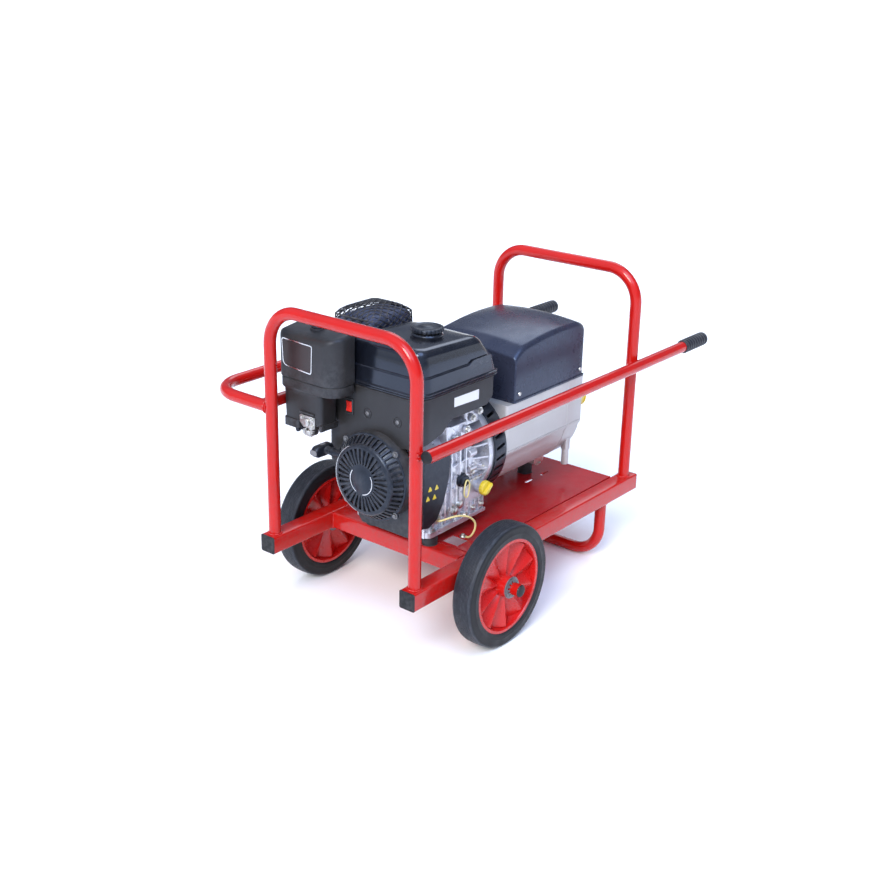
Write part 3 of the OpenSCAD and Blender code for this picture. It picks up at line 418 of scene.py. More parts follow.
def loft(bm, rings, closed=True, caps=True):
    """Joins rings of points with quads, and closes the two ends."""
    rows = [[bm.verts.new(p) for p in ring] for ring in rings]
    n = len(rows[0])
    for a, b in zip(rows, rows[1:]):
        for i in range(n if closed else n - 1):
            j = (i + 1) % n
            bm.faces.new((a[i], a[j], b[j], b[i]))
    if caps:
        bm.faces.new(rows[0][::-1])
        bm.faces.new(rows[-1])


def lathe(bm, profile, steps=64, place=Matrix(), ripple=None):
    """Turns a (radius, height) profile about local Z. ripple(angle) adds to the radius of 3-number points."""
    rings = []
    for k in range(steps + 1):
        a = 2 * math.pi * (k % steps) / steps
        more = ripple(a) if ripple else 0
        ring = []
        for p in profile:
            r = p[0] + (more if len(p) > 2 else 0)
            ring.append(place @ Vector((r * math.cos(a), r * math.sin(a), p[1])))
        rings.append(ring)
    loft(bm, rings, closed=False, caps=False)


def disc(bm, r, z0, z1, sides, place):
    """A plain round bar from z0 to z1 along local Z."""
    lathe(bm, [(0, z0), (r, z0), (r, z1), (0, z1)], sides, place)


def boss(bm, p, axes, r, height, sides=24):
    """A round pad with a chamfered end, standing on p."""
    lathe(bm, [(0, 0), (r, 0), (r, height - 1), (r - 1.5, height), (0, height)], sides, at(p, axes))


def sweep(bm, path, outline, closed=False, caps=True, size=None, up=None):
    """Carries a flat outline along a path. size(i) scales it at the path's point i."""
    path = [Vector(p) for p in path]
    n = len(path)
    rings = []
    side = None
    for i, p in enumerate(path):
        before = path[i - 1] if closed or i else p
        after = path[(i + 1) % n] if closed or i < n - 1 else p
        ahead = (after - before).normalized()
        if side is None:
            lead = Vector(up) if up else (Vector((0, 0, 1)) if abs(ahead.z) < 0.9 else Vector((1, 0, 0)))
            side = lead.cross(ahead).normalized()
        side = (side - ahead * side.dot(ahead)).normalized()
        over = ahead.cross(side)
        k = size(i) if size else 1
        rings.append([p + side * (q[0] * k) + over * (q[1] * k) for q in outline])
    if closed:
        rings.append(rings[0])
    loft(bm, rings, caps=caps and not closed)


def prism(bm, outline, place, depth):
    """Extrudes a flat outline by depth along local Z."""
    loft(bm, [[place @ Vector((p[0], p[1], z)) for p in outline] for z in (0, depth)])


def block(bm, lo, hi, r=0, steps=3):
    """A box with rounded upright corners."""
    if r:
        outline = round_rect(lo[0], lo[1], hi[0], hi[1], r, steps)
    else:
        outline = [(lo[0], lo[1]), (hi[0], lo[1]), (hi[0], hi[1]), (lo[0], hi[1])]
    prism(bm, outline, Matrix.Translation((0, 0, lo[2])), hi[2] - lo[2])


# Local axes: Z of the first runs along +X, and of the others along -X, +Y, -Y, +Z and -Z
ALONG_X = Matrix(((0, 0, 1, 0), (1, 0, 0, 0), (0, 1, 0, 0), (0, 0, 0, 1)))
ALONG_NX = Matrix(((0, 0, -1, 0), (-1, 0, 0, 0), (0, 1, 0, 0), (0, 0, 0, 1)))
ALONG_Y = Matrix(((-1, 0, 0, 0), (0, 0, 1, 0), (0, 1, 0, 0), (0, 0, 0, 1)))
ALONG_NY = Matrix(((1, 0, 0, 0), (0, 0, -1, 0), (0, 1, 0, 0), (0, 0, 0, 1)))
ALONG_Z = Matrix()
ALONG_NZ = Matrix.Rotation(math.pi, 4, "X")


def at(p, axes=ALONG_Z):
    return Matrix.Translation(p) @ axes


def turned(place, degrees):
    return place @ Matrix.Rotation(math.radians(degrees), 4, "Z")


def around(place, count):
    """The place turned about local Z, in count even steps."""
    return [place @ Matrix.Rotation(2 * math.pi * k / count, 4, "Z") for k in range(count)]


def new():
    return bmesh.new()


def piece(name, bm, slot, replaces=(), body="chassis", bevel=0, segments=2, sharp=35, material=None):
    """Makes an object of a mesh built in barrow millimetres, with its finish, body and softened edges."""
    bmesh.ops.remove_doubles(bm, verts=bm.verts, dist=0.005)
    bmesh.ops.dissolve_degenerate(bm, edges=bm.edges, dist=0.003)
    bmesh.ops.recalc_face_normals(bm, faces=bm.faces)
    bm.transform(TO_ROW)
    mesh = bpy.data.meshes.new(name)
    bm.to_mesh(mesh)
    bm.free()
    for polygon in mesh.polygons:
        polygon.use_smooth = True
    mesh.set_sharp_from_angle(angle=math.radians(sharp))
    obj = bpy.data.objects.new(name, mesh)
    bpy.context.scene.collection.objects.link(obj)
    mesh.materials.append((material or MATERIALS[slot]).material)
    if bevel:
        soften(obj, bevel, segments, sharp)
    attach(obj, body)
    if replaces:
        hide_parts(*replaces)
    return obj


def soften(obj, width, segments=2, sharp=35):
    """Rounds the sharp edges by width, in millimetres."""
    bevel = obj.modifiers.new("edges", "BEVEL")
    bevel.width = width * MM
    bevel.segments = segments
    bevel.limit_method = "ANGLE"
    bevel.angle_limit = math.radians(sharp)
    bevel.harden_normals = True


def bolt(bm, p, axes, r, height=None, washer=True):
    """A hexagon bolt head standing on p, with its washer."""
    height = height or r * 0.8
    place = at(p, axes)
    base = 0
    if washer:
        disc(bm, r * 1.7, 0, r * 0.22, 24, place)
        base = r * 0.22
    hexagon = circle(r * 1.12, 6)
    dome = [(r * 0.93, 0), (r * 0.93, height), (r * 0.75, height + r * 0.12), (0, height + r * 0.12)]
    prism(bm, hexagon, place @ Matrix.Translation((0, 0, base)), height)
    lathe(bm, [(p[0], p[1] + base) for p in dome], 24, place)


def bead(bm, path, r, closed=False):
    """A weld bead with its ripples along a path."""
    sweep(bm, path, circle(r, 10), closed=closed, size=lambda i: 0.86 + 0.14 * math.cos(i * 2.1))


def ring_path(centre, axes, r, steps=60, a0=0.0, a1=360.0):
    """Points of a circle, or of a part of it, about local Z."""
    whole = a1 - a0 >= 360
    count = steps if whole else steps + 1
    angles = [math.radians(a0 + (a1 - a0) * k / steps) for k in range(count)]
    return [at(centre, axes) @ Vector((r * math.cos(a), r * math.sin(a), 0)) for a in angles]


# ---------- frame ----------
TUBE_R = 13.5
HOOP_Y = 200
HOOP_TOP = 701
HANDLE_Y = 227
HANDLE_Z = 482
GUARD_X = 400
GUARD_Y = 392
AXLE_END = 309
DECK_Y = 180
REAR_X = middle("rear_hoop").x
RAIL_TOP = span("rail_left")[1].z
RAIL_LOW = span("rail_left")[0].z
AXLE = middle("axle")


def tube(name, path):
    """A round tube of the frame, in place of the CAD node of that name."""
    bm = new()
    sweep(bm, path, circle(TUBE_R, 40))
    piece(name + "_tube", bm, "frame_red", [name])


def make_tubes():
    """Hoops, rear stand, handles, guard bar and axle."""
    for name, x in (("front_hoop", 0), ("rear_hoop", REAR_X)):
        corners = [(x, -HOOP_Y, RAIL_TOP), (x, -HOOP_Y, HOOP_TOP), (x, HOOP_Y, HOOP_TOP),
                   (x, HOOP_Y, RAIL_TOP)]
        tube(name, rounded(corners, 78, 20))
    x = middle("rear_stand").x
    corners = [(x, HOOP_Y, RAIL_LOW), (x, HOOP_Y, TUBE_R), (x, -HOOP_Y, TUBE_R), (x, -HOOP_Y, RAIL_LOW)]
    tube("rear_stand", rounded(corners, 70, 18))
    for name, y, x0 in (("handle_left", HANDLE_Y, 2), ("handle_right", -HANDLE_Y, 0)):
        tube(name, [(x0, y, HANDLE_Z), (500, y, HANDLE_Z), (1086, y, HANDLE_Z)])
    corners = [(0, HOOP_Y + 6, HANDLE_Z), (0, GUARD_Y, HANDLE_Z), (GUARD_X, GUARD_Y, HANDLE_Z),
               (GUARD_X, HANDLE_Y + 6, HANDLE_Z)]
    tube("guard_bar", rounded(corners, 80, 18))
    bm = new()
    wall = [(TUBE_R, -AXLE_END), (TUBE_R, AXLE_END), (9.5, AXLE_END), (9.5, -AXLE_END), (TUBE_R, -AXLE_END)]
    lathe(bm, wall, 40, at((AXLE.x, 0, AXLE.z), ALONG_Y))
    piece("axle_tube", bm, "frame_red", ["axle"], bevel=0.6)


def box_tube(bm, axes, half_w, half_h, length, centre, r=4.5, wall=3):
    """A rectangular tube with rounded corners, open at both ends, from centre along local Z."""
    outer = round_rect(-half_w, -half_h, half_w, half_h, r, 5)
    inner = round_rect(-half_w + wall, -half_h + wall, half_w - wall, half_h - wall, r - wall + 0.6, 5)
    place = at(centre, axes)
    rings = [[place @ Vector((p[0], p[1], z)) for p in shape]
             for shape, z in ((outer, 0), (outer, length), (inner, length), (inner, 0), (outer, 0))]
    loft(bm, rings, caps=False)


def make_rails():
    """The two box rails with their end caps, and the crossmembers."""
    x0, x1 = span("rail_left")[0].x, span("rail_left")[1].x
    z = (RAIL_TOP + RAIL_LOW) / 2
    for name, y in (("rail_left", HOOP_Y), ("rail_right", -HOOP_Y)):
        bm = new()
        box_tube(bm, ALONG_X, 20, 20, x1 - x0, (x0, y, z))
        piece(name + "_tube", bm, "frame_red", [name])
    bm = new()
    for x, half_h, top in ((183, 20, RAIL_TOP), (420, 15, RAIL_TOP - 3), (747, 15, RAIL_TOP - 3)):
        box_tube(bm, ALONG_Y, 20, half_h, 2 * DECK_Y, (x, -DECK_Y, top - half_h))
    piece("crossmember_tubes", bm, "frame_red", ["crossmembers"])
    bm = new()
    for y in (-HOOP_Y, HOOP_Y):
        for x, axes in ((x0, ALONG_NX), (x1, ALONG_X)):
            place = at((x, y, z), axes)
            rings = [[place @ Vector((p[0] * s, p[1] * s, h)) for p in round_rect(-1, -1, 1, 1, 0.2, 5)]
                     for s, h in ((16.2, -15), (16.2, 0), (20, 0), (20, 1.2), (19.3, 2))]
            loft(bm, rings)
    piece("rail_end_caps", bm, "black_cap", ["rail_caps"])


def make_welds():
    """Weld beads where the tubes of the frame meet, and the seams along the deck."""
    bm = new()
    for x in (0, REAR_X):
        for y in (-HOOP_Y, HOOP_Y):
            bead(bm, ring_path((x, y, RAIL_TOP + 0.8), ALONG_Z, TUBE_R + 0.9, 64), 2.6, closed=True)
            outside = y + math.copysign(TUBE_R, y)
            for dz in (-5.5, 5.5):
                bead(bm, [(x + 12 * (k / 6 - 1), outside, HANDLE_Z + dz) for k in range(13)], 2.4)
    for y in (-HOOP_Y, HOOP_Y):
        stand = (middle("rear_stand").x, y, RAIL_LOW - 0.8)
        bead(bm, ring_path(stand, ALONG_Z, TUBE_R + 0.9, 64), 2.6, closed=True)
        axle = (AXLE.x, y - math.copysign(20.5, y), AXLE.z)
        bead(bm, ring_path(axle, ALONG_Y, TUBE_R + 0.8, 40, 40, 140), 2.2)
    for end in ((0, HOOP_Y + 12.2, HANDLE_Z), (GUARD_X, HANDLE_Y + 12.2, HANDLE_Z)):
        bead(bm, ring_path(end, ALONG_Y, TUBE_R + 0.6, 64), 2.4, closed=True)
    for x in (163, 203):
        for y in (-DECK_Y, DECK_Y):
            bead(bm, [(x, y, RAIL_TOP - 40 * k / 24) for k in range(25)], 2.0)
    piece("weld_beads", bm, "frame_red")
    bm = new()
    for y in (-DECK_Y, DECK_Y):
        bead(bm, [(205 + 4 * k, y, RAIL_TOP + 0.4) for k in range(141)], 1.5)
    piece("deck_seams", bm, "deck_red")


def make_caps_and_grips():
    """Plugs in the ends of the right handle and the axle, and the ribbed grips."""
    bm = new()
    head = [(0, -4), (9, -4), (12.4, -3), (TUBE_R, -1), (TUBE_R, 0), (9, 0.4), (9, 13), (0, 13)]
    lathe(bm, head, 36, at((0, -HANDLE_Y, HANDLE_Z), ALONG_X))
    lathe(bm, head, 36, at((AXLE.x, -AXLE_END, AXLE.z), ALONG_Y))
    lathe(bm, head, 36, at((AXLE.x, AXLE_END, AXLE.z), ALONG_NY))
    piece("round_end_caps", bm, "black_cap", ["round_caps"])
    ribs = 9
    pitch = 100 / ribs
    profile = [(13.7, 0), (15.2, 0), (15.6, 1)]
    for i in range(ribs):
        rib = ((0.16, 15.4), (0.30, 16.6), (0.42, 17.0), (0.60, 17.0), (0.72, 16.6), (0.86, 15.4))
        profile += [(r, pitch * (i + share)) for share, r in rib]
    profile += [(16.4, 100.6), (15.6, 102.0), (13.0, 103.0), (0, 103.0)]
    for side, y in (("left", HANDLE_Y), ("right", -HANDLE_Y)):
        bm = new()
        lathe(bm, profile, 48, at((986, y, HANDLE_Z), ALONG_X))
        piece("grip_" + side, bm, "grip_rubber", ["grips"] if side == "left" else [], sharp=50)


# ---------- wheels ----------
RIM_R = 105
RIBS = 10


def wheel_tyre(name, centre, body):
    """Solid tyre: fine grooves round the tread, round shoulders, a raised line on each wall."""
    side = [(RIM_R, 22.6), (RIM_R + 1.5, 24.2), (RIM_R + 5, 24.9), (116, 24.9), (116.6, 25), (118.4, 25),
            (119, 24.7)]
    shoulder = [(129.5 + r, 18.4 + h) for h, r in (polar(6.4, a) for a in range(0, 86, 14))]
    tread = []
    for k in range(6):
        mid = 16.4 - k * 2.95
        land = 136.4 + 1.1 * (1 - (mid / 18) ** 2)
        tread += [(land, mid + 0.4), (136.0, mid + 0.12), (136.0, mid - 0.12), (land, mid - 0.4)]
    upper = side + shoulder + tread
    profile = upper + [(r, -h) for r, h in reversed(upper)] + [upper[0]]
    bm = new()
    lathe(bm, profile, 120, at(centre, ALONG_Y))
    piece(name, bm, "tyre", [name.replace("wheel_", "")], body=body, sharp=45)


def wheel_rim(name, centre, body):
    """Moulded rim: hub, a dished web pressed into wide wedges with narrow valleys, and the outer band."""
    bm = new()
    place = at(centre, ALONG_Y)
    band = [(99, -23), (RIM_R, -22.6), (RIM_R, 22.6), (99, 23), (97.6, 21), (97.0, 8), (95, 3), (95, -3),
            (97.0, -8), (97.6, -21), (99, -23)]
    lathe(bm, band, 120, place)
    hub = [(17, -27), (22.6, -27), (23.6, -26), (25, -3), (25, 3), (23.6, 26), (22.6, 27), (17, 27),
           (17, -27)]
    lathe(bm, hub, 64, place)
    stations = [23, 30, 45, 60, 75, 88, 96]
    steps = RIBS * 12
    for sign in (-1, 1):
        rings = []
        for k in range(steps + 1):
            a = 2 * math.pi * (k % steps) / steps
            phase = (k % 12) / 12
            wedge = min(1.0, 1.06 * (1 - abs(phase - 0.5) / 0.5))
            ring = []
            for r in stations:
                share = (r - 23) / 73
                h = 2.5 + 18 * wedge * (0.55 + 0.35 * share)
                ring.append(place @ Vector((r * math.cos(a), r * math.sin(a), sign * h)))
            rings.append(ring)
        loft(bm, rings, closed=False, caps=False)
    piece(name, bm, "rim_red", [name.replace("wheel_", "")], body=body, sharp=28)


def make_wheels():
    """Both wheels, and the washers at their hubs."""
    for side in ("left", "right"):
        centre = (AXLE.x, middle("rim_" + side).y, AXLE.z)
        wheel_tyre("wheel_tyre_" + side, centre, "wheel_" + side)
        wheel_rim("wheel_rim_" + side, centre, "wheel_" + side)
    bm = new()
    washer = [(13.6, -1.4), (23.2, -1.4), (24, -0.8), (24, 0.8), (23.2, 1.4), (13.6, 1.4), (13.6, -1.4)]
    lugs = [(13.4, -1.6), (19, -3.2), (19, 3.2), (13.4, 1.6)]
    for side in (-1, 1):
        for edge in (-1, 1):
            y = side * 256.6 + edge * 28.9
            lathe(bm, washer, 48, at((AXLE.x, y, AXLE.z), ALONG_Y))
        place = at((AXLE.x, side * 288.5, AXLE.z), ALONG_Y if side > 0 else ALONG_NY)
        for k in range(12):
            turn = turned(place, 30 * k)
            loft(bm, [[turn @ Vector((x, y, z - 0.16 * (x - 13.4))) for x, y in lugs] for z in (2.4, 3.4)])
        lathe(bm, [(18.5, 1.2), (22, 0.6), (22, -0.4), (18.5, 0.2), (18.5, 1.2)], 48, place)
    piece("hub_washers", bm, "zinc", ["axle_washers"], material=MATERIALS["cast_iron"], bevel=0.2)


# ---------- engine ----------
CRANK = Vector((0, -4, 353))
SHROUD_X = 107
WING_Y = -120
TANK_Z = 541
ALT_X0, ALT_X1 = 403, 706
ALT_Y0, ALT_Y1 = -124, 116
SPLIT_Z = 455
FOOT_X, FOOT_Z = 652, 227
ENGINE_FOOT_X, ENGINE_FOOT_Z = 183, 216
COVER_SCREW_X = (446, 688)
COVER_SCREW_Z = 474
CAP_FLUTES = 24
GRILLE_BARS = 32
LOUVRES = 46
ROPE_X, ROPE_Z = 76, 387
KNOB_X, KNOB_Y = 80, 137
SHROUD_SCREWS = (24, -59)
SHROUD_SCREW_Z = 483
CASE_RIGHT_Y = -98
FLANGE_ANGLES = range(-170, 180, 34)
FLANGE_R = 100
FLANGE_BACK_Y = 60
SIDE_BOLTS = ((246, -99, 418), (284, -99, 430), (316, -89, 446), (340, -89, 456))
COVER_BOLTS = ((312, 238), (342, 238), (346, 326), (306, 326))


def crank_arc(r, angles):
    """Points (y, z) of a circle round the crankshaft."""
    return [(CRANK.y + y, CRANK.z + z) for y, z in (polar(r, a) for a in angles)]


def on_crank(x=0.0, degrees=0.0):
    """A place on the crankshaft's axis with local Z along +X, turned about it."""
    return turned(at((x, CRANK.y, CRANK.z), ALONG_X), degrees)


def plan_ring(x0, y0, x1, y1, r, z, steps=9):
    """A rounded rectangle of points at height z. z may be a function of x."""
    high = z if callable(z) else (lambda x: z)
    return [Vector((p.x, p.y, high(p.x))) for p in round_rect(x0, y0, x1, y1, r, steps)]


def make_tank():
    """Moulded tank: a double seam, a lower band with a ledge, and a top that falls off to the rear."""
    x0, x1, y0, y1 = 106, 382, -122, 95
    rings = []
    # drawn in from the outside, height at the front and at the rear, how far the rear is cut back
    levels = [(6, 541, 541, 0), (-1, 541.4, 541.4, 0), (-3.4, 543, 543, 0), (-3.4, 545.4, 545.4, 0),
              (-1.2, 546.2, 546.2, 0), (-1.2, 547.6, 547.6, 0), (-3.2, 548.2, 548.2, 0),
              (-3.2, 550.4, 550.4, 0), (-0.6, 551.6, 551.6, 1), (0.4, 553, 553, 2), (1.2, 583, 581, 13),
              (2.0, 584.6, 582.6, 14), (4.2, 586, 584, 16), (5.2, 587.5, 585.5, 17),
              (6.8, 612, 603, 31), (8.0, 615, 606, 33), (9.4, 626, 616, 40), (11.0, 631, 620, 43),
              (13.6, 636, 625, 47), (17, 639.4, 628, 50), (22, 641.6, 630.2, 54), (30, 642.8, 631.6, 60),
              (46, 643.4, 632.4, 70), (64, 643.6, 632.6, 76)]
    for t, front, rear, cut in levels:
        slope = (rear - front) / (x1 - x0)
        rings.append(plan_ring(x0 + t, y0 + t, x1 - t - cut, y1 - t, max(12, 36 - t),
                               lambda x: front + slope * (x - x0), 12))
    bm = new()
    loft(bm, rings)
    # filler neck collar
    neck = middle("tank_cap")
    lathe(bm, [(36, 632), (34, 640), (31, 643.5), (26.6, 644.4), (26.6, 632), (36, 632)], 64,
          at((neck.x, neck.y, 0)))
    piece("fuel_tank_shell", bm, "tank_black", ["fuel_tank"], bevel=0.5, sharp=22)
    # stepped ledge on the right side: the band stands higher towards the rear
    bm = new()
    outline = flat_ring([(262, 560), (345, 560), (340, 591), (280, 591), (270, 586), (262, 580)], 2.5, 4)
    prism(bm, outline, at((0, y0 + 3.6, 0), ALONG_NY), 2.6)
    piece("fuel_tank_panels", bm, "tank_black", bevel=0.8)
    bm = new()
    cap = [(0, 645.6), (30, 645.6), (33.4, 646.2, 1), (35.2, 648, 1), (35.2, 652.0, 1), (33.8, 654.4, 1),
           (31, 655.8), (28.6, 655.8), (27, 654.6), (13, 654.4), (11, 656), (0, 656.2)]
    lathe(bm, cap, 192, at((neck.x, neck.y, 0)),
          ripple=lambda a: 0.9 * (1 if math.cos(CAP_FLUTES * a) > -0.2 else -1))
    piece("tank_cap_cover", bm, "black_plastic", ["tank_cap"], body="cap", sharp=40)


def slope_at(pts, v):
    """The value at v of a line through points sorted by their first number."""
    for (a, za), (b, zb) in zip(pts, pts[1:]):
        if v <= b:
            return za + (zb - za) * max(0.0, v - a) / (b - a)
    return pts[-1][1]


def shroud_bottom(p):
    """Height of the shroud's lower edge: an arch over the fan ring, and a stepped wing."""
    if p.y < -90:
        return slope_at([(107, 430), (125, 440), (180, 453), (207, 476), (332, 478), (352, 495)], p.x)
    if p.x > SHROUD_X + 5 or p.y > 118:
        return 352
    if p.y > 90:
        return 340
    if p.y < -66:
        return slope_at([(-90, 429), (-84, 430), (-66, 426)], p.y)
    return CRANK.z + math.sqrt(max(0, 94 ** 2 - (p.y - CRANK.y) ** 2))


def make_shroud():
    """The blower housing: one wall that runs along the front, round the corner and back along the side."""
    path = rounded([(150, 135, 0), (SHROUD_X, 135, 0), (SHROUD_X, WING_Y, 0), (352, WING_Y, 0)],
                   [0, 10, 30, 0], 10)
    fine = []
    for a, b in zip(path, path[1:]):
        count = max(1, int((b - a).length / 2.5))
        fine += [a.lerp(b, k / count) for k in range(count)]
    fine.append(path[-1])
    bm = new()
    rings = []
    for i, p in enumerate(fine):
        along = (fine[min(i + 1, len(fine) - 1)] - fine[max(i - 1, 0)]).normalized()
        inner = p + Vector((-along.y, along.x, 0)) * 3
        low = shroud_bottom(p)
        levels = ((p, low), (p, low + 25), (p, TANK_Z - 10), (p, TANK_Z), (inner, TANK_Z), (inner, low))
        rings.append([(q.x, q.y, z) for q, z in levels])
    loft(bm, rings)
    # black apron in front of the crankcase, below the fan ring
    apron = [(-108, 400), (-108, 232), (-92, 222), (50, 222), (62, 234), (62, 300), (86, 325)]
    prism(bm, apron + crank_arc(93, range(-17, -211, -8)), at((120, 0, 0), ALONG_X), 3)
    piece("shroud_wall", bm, "shroud", ["blower_housing"], bevel=0.7, sharp=50)
    bm = new()
    # bead along the top of the wall, so that its edge reads as moulded
    rim = [(p.x - 0.6 * (p.x < SHROUD_X + 1), p.y - 0.6 * (p.y < WING_Y + 1), TANK_Z - 2.2) for p in fine]
    sweep(bm, rim, circle(1.6, 10))
    # ring round the fan, with a lip in front
    ring = [(94, 88), (96.2, 88), (97, 89), (97, 118), (94, 118), (94, 88)]
    lathe(bm, ring, 96, on_crank())
    # bezel of the switch
    sw = middle("stop_switch")
    steps = ((12, 18, -1), (12, 18, 2.4), (11.2, 17.2, 3), (8.3, 13.3, 3), (8.3, 13.3, -2))
    rings = [[Vector((SHROUD_X - h, sw.y + p[0] * w / 12, sw.z + p[1] * v / 18))
              for p in round_rect(-12, -18, 12, 18, 2.5, 4)] for w, v, h in steps]
    loft(bm, rings, caps=False)
    # recesses of the two screws
    for y in SHROUD_SCREWS:
        lathe(bm, [(11.5, 0.2), (11, 1.6), (9.4, 1.6), (8.6, -0.6), (0, -0.6)], 36,
              at((SHROUD_X, y, SHROUD_SCREW_Z), ALONG_NX))
    piece("shroud_details", bm, "shroud", bevel=0.35, sharp=40)
    bm = new()
    rocker = [(SHROUD_X + 3, -9), (SHROUD_X - 3, -12), (SHROUD_X - 4.2, -10.8), (SHROUD_X - 2.2, 0),
              (SHROUD_X - 4.2, 10.8), (SHROUD_X - 3, 12), (SHROUD_X + 3, 9)]
    loft(bm, [[(x, y, sw.z + z) for x, z in rocker] for y in (sw.y - 7.5, sw.y + 7.5)])
    piece("stop_switch_rocker", bm, "switch_red", ["stop_switch"], body="switch", bevel=0.9, segments=3)
    bm = new()
    for y in SHROUD_SCREWS:
        bolt(bm, (SHROUD_X + 2.4, y, SHROUD_SCREW_Z), ALONG_NX, 4.6, 2.0)
    piece("shroud_screws", bm, "zinc", material=MATERIALS["cast_iron"], bevel=0.25)
    bm = new()
    slot = [(-3, -0.5), (3, -0.5), (3, 0.5), (-3, 0.5)]
    for x in COVER_SCREW_X:
        for y, top, axes in ((ALT_Y0, ALT_Y0 - 3.1, ALONG_NY), (ALT_Y1, ALT_Y1 + 3.1, ALONG_Y)):
            lathe(bm, [(0, 0), (5, 0), (5, 1), (4.2, 2.3), (2, 3), (0, 3.1)], 28,
                  at((x, y, COVER_SCREW_Z), axes))
            prism(bm, slot, at((x, top, COVER_SCREW_Z), axes), 0.1)
    piece("screw_heads", bm, "zinc", ["cover_screws"], bevel=0.25)


def make_recoil():
    """Recoil starter cover: radial bars round a plain disc, and a cone of louvres out to its flange."""
    bm = new()
    place = on_crank()
    lathe(bm, [(0, 55.4), (22, 55.4), (24, 56.6), (30, 56.8), (31.5, 57.4), (36, 57.6), (36, 61), (0, 61)],
          96, place)
    lathe(bm, [(69, 60.0), (74, 60.8), (77.4, 62.6), (79.4, 65.4), (79.4, 68), (74, 66), (69, 63.4),
               (69, 60.0)], 96, place)
    lathe(bm, [(95, 84.6), (97.4, 85.6), (98, 88), (93, 88), (93, 84.6), (95, 84.6)], 96, place)
    # radius, place along the axis and half width of a bar, and of a louvre
    bar = ((34, 57.6, 1.9), (52, 58.2, 2.5), (71, 60.2, 3.1))
    louvre = ((78.6, 64.5, 2.3), (87, 75, 2.7), (95, 86, 3.1))
    for turn in around(place, GRILLE_BARS):
        loft(bm, [[turn @ Vector((r, w, x + d))
                   for w, d in ((-half, 0.5), (0, 0), (half, 0.5), (half, 3.2), (-half, 3.2))]
                  for r, x, half in bar])
    for turn in around(place, LOUVRES):
        loft(bm, [[turn @ Vector((r + d, w, x))
                   for w, d in ((-half, -0.4), (0, 0.3), (half, -0.4), (half, -5), (-half, -5))]
                  for r, x, half in louvre])
    lathe(bm, [(8, -6), (8, 32), (9.5, 33), (9.5, 37), (4, 37), (4, -6)], 32,
          at((ROPE_X, 60, ROPE_Z), ALONG_Y))
    piece("recoil_grille", bm, "black_plastic", ["recoil_cover"], bevel=0.35, sharp=40)
    bm = new()
    # dark drum behind the bars
    lathe(bm, [(38, 64), (66, 64.6), (73, 68), (89, 88), (86, 88), (70, 70), (38, 66), (38, 64)], 96, place)
    piece("recoil_drum", bm, "black_plastic", sharp=40)
    bm = new()
    for radius, a0, a1 in ((30.5, 148, 262), (30.5, -62, 38)):
        arc = ring_path((56.4, CRANK.y, CRANK.z), ALONG_X, radius, 40, a0, a1)
        sweep(bm, arc, [(-0.9, -0.5), (0.9, -0.5), (0.9, 0.5), (-0.9, 0.5)], up=(1, 0, 0))
    # painted highlight: a thin bright strand along part of the outer ring's lip stands in for the highlight
    # there; the two arcs above are the disc's silver trim
    edge = ring_path((62.6, CRANK.y, CRANK.z), ALONG_X, 77.4, 70, -75, 60)
    sweep(bm, edge, circle(0.7, 8))
    piece("recoil_trim_and_painted_highlight", bm, "zinc", material=BRIGHT, sharp=30)
    corners = [polar(97.5, 45 + 90 * k) for k in range(4)]
    bm = new()
    for corner in corners:
        lathe(bm, [(8, 3), (8, 0), (6.5, -1), (0, -1)], 24, at(place @ Vector((*corner, 86)), ALONG_X))
    piece("recoil_bosses", bm, "black_plastic", bevel=0.4)
    bm = new()
    for corner in corners:
        bolt(bm, place @ Vector((*corner, 85)), ALONG_NX, 4.2, 3)
    piece("recoil_bolts", bm, "zinc", material=MATERIALS["cast_iron"], bevel=0.25)


def make_pull_grip():
    """T grip: a moulded bar with rounded ends on a short neck, and pale plugs in it."""
    lo, hi = span("pull_handle")
    mid = (lo + hi) / 2
    y0, y1 = lo.y + 14, hi.y
    bm = new()
    rings = []
    half = ((0.0, 0.72), (0.06, 0.88), (0.18, 0.985))
    for share, k in (*half, (0.5, 1.0), (0.82, 0.985), (0.94, 0.88), (1.0, 0.72)):
        y = y0 + (y1 - y0) * share
        rings.append([Vector((mid.x + p.x * (1 - (1 - k) * 0.25), y, mid.z + p.y * k))
                      for p in round_rect(-28, -13, 28, 13, 12.5, 8)])
    loft(bm, rings)
    lathe(bm, [(6.5, 0), (9, 1), (8.6, 8), (10, 14.5), (3, 14.5), (3, 0), (6.5, 0)], 32,
          at((ROPE_X, lo.y, ROPE_Z), ALONG_Y))
    piece("starter_grip", bm, "black_plastic", ["pull_handle"], body="starter_grip", sharp=50)
    bm = new()
    lathe(bm, [(0, 0), (6.2, 0), (6.2, 0.5), (4.4, 0.9), (0, 0.6)], 28,
          at((69, hi.y - 0.6, ROPE_Z), ALONG_Y))
    for s in (-1, 1):
        prism(bm, round_rect(-7, -5.5, 7, 5.5, 4, 5), at((mid.x, (y0 + y1) / 2, mid.z + s * 13)), s * 0.35)
    prism(bm, round_rect(-10, -6, 10, 6, 5, 5), at((mid.x - 28.1, (y0 + y1) / 2, mid.z), ALONG_NX), 0.5)
    piece("starter_grip_plug", bm, "rope", body="starter_grip", material=PALE_PLASTIC, bevel=0.15)


